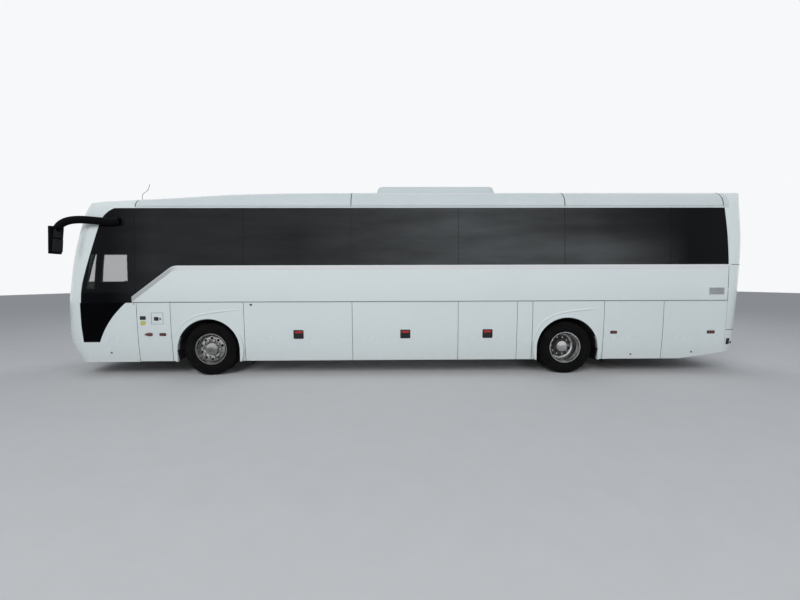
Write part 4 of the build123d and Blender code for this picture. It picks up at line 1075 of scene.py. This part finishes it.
# seats: padded covers on plain frames
seat = {"pitch": 0.8, "first": -3.9, "rows": 12, "columns": (-0.962, -0.497, 0.497, 0.962), "floor": 1.3985,
        "wide": 0.445, "skipped": (6, 7), "driver": (-5.080, -0.640, 1.001), "driverWide": 0.49}


def addPad(shape, centre, size, tilt, crown=0.25, seams=(), cut=(8, 8, 3)):
    # A closed pad: crowned faces, sides pulled in between its corners, sewn channels across
    turn = Matrix.Rotation(radians(tilt), 3, "Y")
    grid = {}

    def corner(*spot):
        if spot not in grid:
            u, v, w = (2 * k / count - 1 for k, count in zip(spot, cut))
            puff = (1 - u ** 4) * (1 - v ** 4)
            sewn = sum(0.20 * 2.718 ** (-((v - s) / 0.07) ** 2) for s in seams)
            ru = u * (1 - 0.05 * (1 - v * v)) * (1 - 0.10 * abs(w) ** 3)
            rv = v * (1 - 0.04 * (1 - u * u)) * (1 - 0.10 * abs(w) ** 3)
            rw = w * (1 - crown + crown * puff - (sewn if abs(u) < 0.86 else 0))
            away = Vector([share * full / 2 for share, full in zip((ru, rv, rw), size)])
            grid[spot] = shape.verts.new(Vector(centre) + turn @ away)
        return grid[spot]

    for axis in range(3):
        # The two sides across this axis
        first, second = (n for n in range(3) if n != axis)
        for fixed in (0, cut[axis]):
            for a in range(cut[first]):
                for b in range(cut[second]):
                    corners = []
                    for da, db in ((0, 0), (1, 0), (1, 1), (0, 1)):
                        spot = {axis: fixed, first: a + da, second: b + db}
                        corners.append(corner(spot[0], spot[1], spot[2]))
                    shape.faces.new(corners)


def seatPads(wide, high=1.0):
    shape = bmesh.new()
    addPad(shape, (-0.085, 0, 0.400), (0.40, wide, 0.125), -4, seams=(-0.62, 0.62))
    addPad(shape, (0.190, 0, 0.680 * high), (0.50 * high, wide, 0.115), -72, seams=(-0.62, 0.62),
           cut=(10, 8, 3))
    addPad(shape, (0.268, 0, 0.985 * high), (0.20, wide * 0.82, 0.105), -76, crown=0.35, cut=(6, 8, 3))
    return shape


def seatFrame(wide):
    shape = bmesh.new()
    addBlock(shape, (-0.10, -0.045, 0.001), (0.10, 0.045, 0.02), 0.005)
    addBlock(shape, (-0.045, -0.030, 0.015), (0.055, 0.030, 0.31), 0.008)
    addBlock(shape, (-0.26, -wide / 2 + 0.01, 0.30), (0.14, wide / 2 - 0.01, 0.345), 0.012)
    for way in (-1, 1):
        y = way * (wide / 2 - 0.001)
        addBlock(shape, (-0.17, y - 0.018, 0.545), (0.20, y + 0.018, 0.580), 0.010)
    return shape


def makeSeats(s):
    for place, y in enumerate(s["columns"]):
        runs = [(0, s["rows"])] if y < 0 else [(0, s["skipped"][0]), (s["skipped"][-1] + 1, s["rows"])]
        for run, (start, end) in enumerate(runs):
            values = {"Count": end - start, "Start": (s["first"] + start * s["pitch"], y, s["floor"]),
                      "Step": (s["pitch"], 0, 0)}
            tag = "_%d%s" % (place, "ab"[run])
            pads = repeat("seatPads" + tag, seatPads(s["wide"]), rowLayout, values, "seat", angle=50)
            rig.replaces(pads, "passenger_seats")
            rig.padded(pads, fill=0.8)
            repeat("seatFrames" + tag, seatFrame(s["wide"]), rowLayout, values, "cabinPlastic")
    pads, base = seatPads(s["driverWide"], 1.02), seatFrame(s["driverWide"])
    for shape in (pads, base):
        bmesh.ops.translate(shape, verts=shape.verts, vec=s["driver"])
    driver = fromShape("driverSeatPads", pads, "seat", angle=50)
    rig.replaces(driver, "driver_seat")
    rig.padded(driver, fill=0.8)
    fromShape("driverSeatFrame", base, "cabinPlastic")


makeSeats(seat)
print("seats made")

# belt stripe under the side glass, and the dark lines of the seams below it
stripe = {
    "top": 2.092, "white": 0.009, "wide": 0.066, "bendX": -4.257, "bendRadius": 0.25, "turn": 36.6,
    "footX": -5.120, "rear": 6.150, "proud": 0.003, "right": ((-4.385, 1.030), (1.812, 6.150)),
    "seam": (1.402, 1.413), "seamSpans": ((-1, -5.118, 6.150), (1, -4.392, 1.024), (1, 1.816, 6.150)),
    "bumperLine": 1.376,
    "lineWide": 0.011, "lineZ": (0.296, 1.392), "sunk": 0.001, "seamProud": 0.0008, "lineProud": 0.0006,
    "seamDeep": 0.002,
}


def stripeLine(s, down):
    # From the rear forward along the belt, round the bend and down to the foot, lowered by down
    line = [(s["rear"], s["top"] - down)]
    r = s["bendRadius"] - down
    for k in range(9):
        a = radians(90 + s["turn"] * k / 8)
        line.append((s["bendX"] + r * cos(a), s["top"] - s["bendRadius"] + r * sin(a)))
    x, z = line[-1]
    line.append((s["footX"], z - (x - s["footX"]) * tan(radians(s["turn"]))))
    return line


def makeStripe(s):
    shape = bmesh.new()
    top, out, back = s["top"] - s["white"], s["proud"], -s["sunk"]
    high, low = stripeLine(s, s["white"]), stripeLine(s, s["white"] + s["wide"])
    addBand(shape, [sideRow(shape, line, -1, lift)
                    for line, lift in ((high, out), (low, out), (low, back), (high, back))])
    for start, end in s["right"]:
        addPlate(shape, sharpBox(start, end, top - s["wide"], top), 1, out, out - back)
    fromShape("beltStripe", shape, "belt")
    seams = [(side, sharpBox(start, end, *s["seam"]), s["seamProud"]) for side, start, end in s["seamSpans"]]
    x = coach["frontAxleX"] - s["bumperLine"]
    seams.append((-1, sharpBox(x, x + s["lineWide"], *s["lineZ"]), s["lineProud"]))
    shape = bmesh.new()
    for side, outline, out in seams:
        addPlate(shape, outline, side, out, s["seamDeep"])
    fromShape("sealLines", shape, "rubber")


makeStripe(stripe)

# small fittings on the body sides
handles = {
    "z": 0.786, "wide": 0.176, "high": 0.153, "gripRadius": 0.008,
    "grip": ((-0.062, -0.012, -0.008), (-0.050, -0.022, 0.004), (0.050, -0.022, 0.004),
             (0.062, -0.012, -0.008)),
    "places": {"luggage_door_left_front": (-2.020, -1), "luggage_door_left_middle": (0.005, -1),
               "luggage_door_left_rear": (1.573, -1), "luggage_door_right_front": (-2.020, 1),
               "luggage_door_right_rear": (0.005, 1)},
    # from the frame's back to the dish's floor: how much larger than the dish, corner radius and how far out
    "loops": ((0.016, 0.018, -0.003), (0.016, 0.018, 0.004), (-0.006, 0.012, 0.004), (-0.006, 0.012, -0.012)),
    "redLift": 0.040, "red": (0.146, 0.046, 0.010), "redOut": (-0.004, 0.008),
}
markers = [(-4.628, -4.518, 0.776, 0.818, "service_flap_left", -1),
           (3.938, 4.054, 0.780, 0.822, "rear_flap_left_front", -1),
           (5.806, 5.940, 0.775, 0.820, "rear_flap_left_rear", -1),
           (-1.120, -1.004, 0.780, 0.822, "luggage_door_right_front", 1),
           (3.938, 4.054, 0.780, 0.822, "rear_flap_right", 1)]
# a marker's frame, lens and crown: how much larger than its place, corner radius, how far out, depth, finish
markerSteps = ((0.014, 0.014, 0.012, 0.005, 0.007, 0), (-0.006, -0.006, 0.010, 0.012, 0.010, 1),
               (-0.030, -0.018, 0.006, 0.0145, 0.010, 1))
repeater = {
    "middle": (-4.825, 0.799), "tip": (-4.918, 0.797), "peak": 0.025,
    "outline": ((-4.912, 0.801), (-4.870, 0.822), (-4.820, 0.830), (-4.780, 0.822), (-4.766, 0.800),
                (-4.780, 0.777), (-4.820, 0.769), (-4.870, 0.776), (-4.912, 0.793)),
    "levels": ((1.10, 0.001), (1.08, 0.004), (1.0, 0.004), (0.97, 0.013), (0.82, 0.020), (0.45, 0.024)),
}
lockDots = [(-5.567, 0.450, mainBody), (-4.607, 1.093, "service_flap_left"),
            (4.354, 0.370, "rear_flap_left_front"), (5.532, 0.410, "rear_flap_left_rear")]
# name, finishes, body, and for each plate its middle, size, corner radius, how far out, depth and finish
flatFittings = (
    ("fillerGrip", "trim", "filler_lid",
     ((-4.6795, 1.095, 0.086, 0.072, 0.008, 0.0015, 0.003),
      (-4.6795, 1.102, 0.066, 0.030, 0.006, 0.004, 0.004))),
    ("doorLatch", "trim", "luggage_door_left_front", ((-2.900, 1.354, 0.048, 0.030, 0.006, 0.003, 0.004),)),
    ("plainStickers", "paleYellow trim", "service_flap_left",
     ((-4.930, 1.015, 0.100, 0.085, 0.030, 0.0012, 0.002, 0),
      (-4.930, 1.112, 0.110, 0.070, 0.006, 0.0012, 0.002, 1))),
)


def makeHandles(h):
    z = h["z"]
    for body, (x, side) in h["places"].items():
        shape = bmesh.new()
        loops = [sideRow(shape, roundedBox(x, z, h["wide"] + more, h["high"] + more, corner), side, out)
                 for more, corner, out in h["loops"]]
        bridge(shape, loops, True)
        shape.faces.new(loops[-1])
        addPlate(shape, roundedBox(x, z + h["redLift"], *h["red"]), side, *h["redOut"], 1)
        grip = curved([onSide(x + dx, z + dz, side, out) for dx, dz, out in h["grip"]], 6)
        addTube(shape, grip, h["gripRadius"], 8)
        fromShape("handle_" + body, shape, "trim red", body)


def makeMarkers(v):
    for k, (x0, x1, z0, z1, body, side) in enumerate(markers):
        x, z, w, h = (x0 + x1) / 2, (z0 + z1) / 2, x1 - x0, z1 - z0
        plates = [(roundedBox(x, z, w + wide, h + high, r), *rest) for wide, high, r, *rest in markerSteps]
        platePiece("sideMarker_%d" % k, side, plates, "trim darkAmber", body, "lamp_lens")
    shape = bmesh.new()
    cx, cz = v["middle"]
    outline = [v["tip"]] + flatCurve(v["outline"], 3)
    loops = [sideRow(shape, [(cx + (x - cx) * share, cz + (z - cz) * share) for x, z in outline], -1, out)
             for share, out in v["levels"]]
    bridge(shape, loops[:3], True)
    bridge(shape, loops[2:], True, 1)
    fan(shape, loops[-1], shape.verts.new(onSide(cx, cz, -1, v["peak"])), 1)
    shape.faces.new(loops[0][::-1])
    fromShape("turnRepeater", shape, "trim darkAmber", "service_flap_left", "lamp_lens", 50)


def makeFlatFittings():
    for k, (x, z, body) in enumerate(lockDots):
        platePiece("lock_%d" % k, -1, [(ringOutline(x, z, 0.017), 0.002, 0.004),
                                       (ringOutline(x, z, 0.010, 12), 0.004, 0.004)], "trim", body)
    for name, coats, body, plates in flatFittings:
        platePiece(name, -1, [(roundedBox(*plate[:5]),) + plate[5:] for plate in plates], coats, body)


# black socket and rubber stub low on the rear bumper's corners, and the seams round the rear corners
tail = {"block": (6.228, 0.6135, 0.076, 0.117, 0.010), "stub": (6.316, 0.584, 0.020, 16),
        "turnPoint": (6.02, 0.95), "seams": (("rear_wall", 2.088, 8, 60), ("rear_bumper", 0.838, 0, 66)),
        "seamRadius": 0.005, "upright": (6.160, 2.060, 1.400), "uprightRadius": 0.0035, "proud": 0.0005}


def makeTail(v):
    cx, cy = v["turnPoint"]
    x, top, low = v["upright"]
    for side in (-1, 1):
        hand = "lr"[side > 0]
        place = skinOf("rear_bumper", y=-side)
        shape = bmesh.new()
        addSkin(shape, place, roundedBox(*v["block"]), 0.006, rings=2)
        addSkin(shape, place, ringOutline(*v["stub"]), 0.010, rings=2)
        fromShape("rearSocket_" + hand, shape, "rubber")
        shape = bmesh.new()
        for node, z, start, end in v["seams"]:
            line = []
            for k in range(17):
                a = radians(start + (end - start) * k / 16)
                way = Vector((-cos(a), -side * sin(a), 0))
                spot, normal = touch(node, Vector((cx, side * cy, z)) - way * 3.0, way)
                line.append(spot + normal * v["proud"])
            addTube(shape, line, v["seamRadius"], 6)
        wall = skinOf("rear_wall", y=-side)
        line = [wall(x, top + (low - top) * k / 8, v["proud"]) for k in range(9)]
        addTube(shape, line, v["uprightRadius"], 6)
        fromShape("rearCornerSeams_" + hand, shape, "rubber")


louvre = {"x": (5.796, 6.091), "z": (1.515, 1.651), "slats": 11, "tilt": -32}


def makeLouvre(v):
    (x0, x1), (z0, z1) = v["x"], v["z"]
    x, z, wide, high = (x0 + x1) / 2, (z0 + z1) / 2, x1 - x0, z1 - z0
    edge = roundedBox(x, z, wide + 0.028, high + 0.028, 0.014)
    inner = roundedBox(x, z, wide - 0.004, high - 0.004, 0.006)
    plates = [(roundedBox(x, z, wide, high, 0.008), 0.0015, 0.003)]
    for k in range(len(edge)):
        m = (k + 1) % len(edge)
        plates.append(([edge[k], edge[m], inner[m], inner[k]], 0.0045, 0.005, 1))
    platePiece("louvrePanel", -1, plates, "louvreGrey paint")
    slat = bmesh.new()
    addBlock(slat, (-wide / 2 + 0.012, -0.0035, -0.0012), (wide / 2 - 0.012, 0.0035, 0.0012), 0.0006, 1,
             Matrix.Rotation(radians(v["tilt"]), 3, "X"))
    low, top = onSide(x, z0 + 0.010, -1, 0.003), onSide(x, z1 - 0.010, -1, 0.003)
    rowBetween("louvreSlats", slat, v["slats"], low, top, "louvreGrey")


brow = {
    "radius": 0.686, "foot": 0.645, "start": 168, "leave": 97, "wide": 0.026, "proud": 0.013, "steps": 22,
    "across": 8, "rise": ((0.030, 0.703), (0.138, 0.718), (0.345, 0.744), (0.500, 0.757), (0.655, 0.764)),
    "lipY": 1.2405,
}


def makeBrow(v, axle, side, tag):
    # A soft ridge that follows the arch from its foot over the top, then runs back almost level to the seam
    line = []
    for k in range(v["steps"] + 1):
        a = radians(v["start"] + (v["leave"] - v["start"]) * k / v["steps"])
        r = v["foot"] + (v["radius"] - v["foot"]) * min(1.0, 2.4 * k / v["steps"])
        line.append((axle + r * cos(a), coach["axleZ"] + r * sin(a)))
    line += flatCurve([line[-1]] + [(axle + a, coach["axleZ"] + b) for a, b in v["rise"]], 4)[1:]
    shape = bmesh.new()
    rings = []
    last = len(line) - 1
    for k, (x, z) in enumerate(line):
        before, after = line[max(k - 1, 0)], line[min(k + 1, last)]
        ax, az = after[0] - before[0], after[1] - before[1]
        run = sqrt(ax * ax + az * az)
        ease = min(1.0, k / 5, (last - k) / 8)
        wide = v["wide"] * (0.45 + 0.55 * ease)
        ring = []
        for s in range(v["across"] + 1):
            u = 2 * s / v["across"] - 1
            high = v["proud"] * ease * (1 - u * u) ** 1.5 - 0.0015 * (u * u) ** 4
            ring.append(shape.verts.new(onSide(x - az / run * wide * u, z + ax / run * wide * u, side, high)))
        feet = [(vert.co.x, vert.co.z) for vert in (ring[-1], ring[0])]
        rings.append(ring + sideRow(shape, feet, side, -0.004))
    bridge(shape, rings, True)
    for ring in (rings[0], rings[-1]):
        shape.faces.new(ring)
    fromShape("archRidge_" + tag, shape, "paint", angle=50)
    lip = bmesh.new()
    addTurned(lip, "archLip", (axle, side * v["lipY"], coach["axleZ"]), (0, side, 0))
    low = [vert for vert in lip.verts if vert.co.z < coach["axleZ"] - 0.004]
    bmesh.ops.delete(lip, geom=low, context="VERTS")
    bmesh.ops.holes_fill(lip, edges=[edge for edge in lip.edges if edge.is_boundary], sides=0)
    for vert in lip.verts:
        vert.co.y += side * (halfWidth(vert.co.z) - v["lipY"])
    fromShape("archLip_" + tag, lip, "paint", angle=50)


for end in ("front", "rear"):
    for side in (-1, 1):
        makeBrow(brow, wheelEnds[end]["x"], side, end + ("Left" if side < 0 else "Right"))

# sheets behind and ahead of the wheels: x, y and z from and to, and the bevel, for each side
mudflaps = (
    (3.862, 3.870, 0.60, 1.165, 0.185, 0.640, 0.002), (3.858, 3.882, 0.58, 1.175, 0.600, 0.640, 0.004),
    (-2.958, -2.950, 0.86, 1.165, 0.190, 0.398, 0.002), (-4.332, -4.324, 0.56, 1.165, 0.290, 0.600, 0.002),
)


def makeMudflaps():
    shape = bmesh.new()
    for side in (-1, 1):
        for x0, x1, y0, y1, z0, z1, bevel in mudflaps:
            addBlock(shape, (x0, side * y0, z0), (x1, side * y1, z1), bevel)
    fromShape("mudflaps", shape, "rubber")


makeHandles(handles)
makeMarkers(repeater)
makeFlatFittings()
makeLouvre(louvre)
makeTail(tail)
makeMudflaps()
print("side fittings made")

# Front end
lamp = {"y": (0.800, 0.985), "z": 0.760, "back": 0.006, "stripY": 0.90, "strips": ((0.838, 0), (0.682, 1)),
        "stripHalf": (0.165, 0.172), "stripHigh": 0.008, "stripBack": 0.012}
intake = {"half": 0.560, "low": 0.395, "high": 0.560, "corner": 0.05, "slats": 7, "slatZ": 0.49,
          "inset": 0.04, "slatRadius": 0.007, "plate": (0, 0.640, 0.520, 0.110, 0.010), "fog": (0.80, 0.475)}


def makeHeadlamps(v):
    dress("head_lamps", "lampCover")
    cover = skinOf("head_lamps", x=1)
    bowls, lenses, strips = bmesh.new(), bmesh.new(), bmesh.new()

    def place(a, b, out):
        return cover(a, b, out - v["stripBack"])

    wide, tip = v["stripHalf"]
    for side in (-1, 1):
        for y in v["y"]:
            centre = cover(side * y, v["z"], -v["back"])
            addTurned(bowls, "lampBowl", centre, (-1, 0, 0))
            addTurned(lenses, "lampLens", centre, (-1, 0, 0))
        for z, coat in v["strips"]:
            low, high = z - v["stripHigh"], z + v["stripHigh"]
            outline = ((-wide, low), (wide, low), (tip, z), (wide, high), (-wide, high), (-tip, z))
            addSkin(strips, place, [(side * (v["stripY"] + dy), h) for dy, h in outline], 0.004, coat, 2)
    fromShape("lampBowls", bowls, "reflector")
    fromShape("lampLenses", lenses, "white")
    fromShape("lampStrips", strips, "white amber")


def slatUnit(place, half, z, out, radius, flat):
    # A slat that follows a face from side to side at height z, brought down to height 0
    slat = bmesh.new()
    line = [place(half * k / 6, z, out) - Vector((0, 0, z)) for k in range(-6, 7)]
    addTube(slat, line, radius, 6, flat)
    return slat


def makeFrontFace(v):
    bumper = skinOf("front_bumper", x=1)
    low, high, z, inset = v["low"], v["high"], v["slatZ"], v["inset"]
    box = (0, (low + high) / 2, 2 * v["half"], high - low, v["corner"])
    skinPiece("intakePanel", bumper, [box], 0.003, "trim", rings=5)
    slat = slatUnit(bumper, v["half"] - inset, z, 0.006, v["slatRadius"], 0.6)
    back = Vector((bumper(0, z).x, 0, 0))
    rowBetween("intakeSlats", slat, v["slats"], bumper(0, low + inset / 2) - back,
               bumper(0, high - inset / 2) - back, "trim")
    skinPiece("frontPlate", bumper, [v["plate"]], 0.006, "lining")
    fog = bmesh.new()
    y, z = v["fog"]
    for side in (-1, 1):
        addTurned(fog, "fogLamp", bumper(side * y, z), (-1, side * y / 4, 0))
    fromShape("fogLamps", fog, "white")


wiperSet = {"middles": (-0.560, 0.480), "reach": 0.440, "blade": 1.572, "pivotZ": 1.415, "pivot": 0.395}


def makeWipers(v):
    shape = bmesh.new()

    screen, mask = skinOf("windscreen", x=1), skinOf("front_mask", x=1)

    def skin(y, z, out):
        try:
            return screen(y, z, out)
        except ValueError:
            return mask(y, z, out)

    for middle in v["middles"]:
        blade = [skin(middle + v["reach"] * k / 8, v["blade"], 0.012) for k in range(-8, 9)]
        addTube(shape, blade, 0.008, 8, flat=1.3)
        addTube(shape, [p + Vector((-0.006, 0, 0.004)) for p in blade[3:14]], 0.006, 6)
        root = skin(middle + v["pivot"], v["pivotZ"], 0.014)
        knee = skin(middle + v["pivot"] * 0.55, (v["blade"] + v["pivotZ"]) / 2 + 0.02, 0.020)
        addTube(shape, curved([root, knee, skin(middle, v["blade"] + 0.004, 0.018)], 6), 0.009, 8)
        addTurned(shape, "wiperPivot", root, (-1, 0, 0.1))
    made = fromShape("wiperSet", shape, "trim")
    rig.replaces(made, "wipers")


makeHeadlamps(lamp)
makeFrontFace(intake)
makeWipers(wiperSet)
print("front made")

# Rear end
rear = {"lampY": 1.010, "lampZ": 1.450, "spacing": 0.145, "grille": (0.78, 1.08, 1.32), "slats": 10,
        "slatZ": 1.2, "slatRadius": 0.009}


def makeRear(v):
    dress("tail_lamps", "glossBlack", slot="lamp_lens")
    lamps = skinOf("tail_lamps", x=-1)
    for k, coat in enumerate(("red", "amber", "red", "white")):
        shape = bmesh.new()
        for side in (-1, 1):
            centre = lamps(side * v["lampY"], v["lampZ"] + (1.5 - k) * v["spacing"])
            addTurned(shape, "tailLens", centre, (1, side * 0.10, 0))
        fromShape("tailLens_%d" % k, shape, coat)
    half, low, high = v["grille"]
    slat = slatUnit(skinOf("engine_lid", x=-1), half, v["slatZ"], 0.004, v["slatRadius"], 0.7)
    rowBetween("lidSlats", slat, v["slats"], (0, 0, low), (0, 0, high), "trim", "engine_lid")
    grille = (0, (low + high) / 2, 2 * half + 0.03, high - low + 0.04, 0.02)
    reflectors = [(side * 0.86, 0.600, 0.110, 0.050, 0.010) for side in (-1, 1)]
    for name, node, body, boxes, depth, coat, rings in (
            ("lidGrillePanel", "engine_lid", "engine_lid", [grille], 0.002, "trim", 5),
            ("rearPlate", "engine_lid", "engine_lid", [(0, 1.52, 0.520, 0.110, 0.010)], 0.006, "lining", 3),
            ("lidHandle", "engine_lid", "engine_lid", [(0, 1.405, 0.20, 0.036, 0.012)], 0.020, "trim", 2),
            ("rearReflectors", "rear_bumper", mainBody, reflectors, 0.006, "red", 2),
            ("highStopLamp", "rear_wall", mainBody, [(0, 3.125, 0.36, 0.030, 0.010)], 0.008, "red", 3)):
        skinPiece(name, skinOf(node, x=-1), boxes, depth, coat, body, rings)


makeRear(rear)
print("rear made")

# Roof
roof = {
    "seams": (-5.026, -1.008, 3.024, 6.045), "seamWide": 0.015, "seamAxis": 3.0, "seamTurn": 1.4,
    "seamSteps": 58,
    "band": ((-1, 0.0012), (1, 0.0012), (1, -0.003), (-1, -0.003)), "gutter": (-5.00, 11.10, 3.205),
    "gutterSteps": 55, "slats": 26, "slatStep": 0.044, "slat": (0.012, 0.46, 0.0025), "slatTilt": 30,
    "unitX": 0.65, "antenna": (-5.190, -0.80, 5.0),
    "whip": ((0, 0, 0.030), (0.020, -0.02, 0.150), (0.150, -0.05, 0.240), (0.190, -0.05, 0.345)),
}


def makeRoof(v):
    base, _ = touch("front_mask", v["antenna"], (0, 0, -1))
    shape = bmesh.new()
    addTurned(shape, "antennaFoot", base, (0, 0, 1))
    addTube(shape, curved([base + Vector(p) for p in v["whip"]], 5), 0.004, 8)
    fromShape("antenna", shape, "trim")
    slat = bmesh.new()
    corner = Vector(v["slat"])
    addBlock(slat, -corner, corner, 0.001, 1, Matrix.Rotation(radians(v["slatTilt"]), 3, "Y"))
    z = touch("roof_unit", (0.5, 0, 5.0), (0, 0, -1))[0].z + 0.004
    half = v["slatStep"] * (v["slats"] - 1) / 2
    rowBetween("unitSlats", slat, v["slats"], (v["unitX"] - half, 0, z), (v["unitX"] + half, 0, z), "trim")
    shape = bmesh.new()
    start, length, z = v["gutter"]
    for side in (-1, 1):
        line = []
        for k in range(v["gutterSteps"] + 1):
            x = start + length * k / v["gutterSteps"]
            spot, _ = touch("roof_shell", (x, side * 2.0, z), (0, -side, 0))
            line.append(spot + Vector((0, side * 0.003, 0)))
        addTube(shape, line, 0.006, 6)
    fromShape("rainGutters", shape, "roofPaint")
    shape = bmesh.new()
    turns = [radians(90 - v["seamTurn"] * k) for k in range(-v["seamSteps"], v["seamSteps"] + 1)]
    ways = [Vector((0, cos(a), sin(a))) for a in turns]
    for seam in v["seams"]:
        # A flat closed band over the roof, from just above its skin to just below
        rows = []
        for shift, lift in v["band"]:
            centre = Vector((seam + shift * v["seamWide"] / 2, 0, v["seamAxis"]))
            rows.append([shape.verts.new(touch("roof_shell", centre + way * 3.0, -way)[0] + way * lift)
                         for way in ways])
        addBand(shape, rows)
    fromShape("roofSeams", shape, "rubber")


makeRoof(roof)
print("roof made")

visualBox = [list(corner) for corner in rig.bounds()]
with open("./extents.json", "w") as out:
    json.dump({"cad": cadBox, "visual": visualBox}, out)
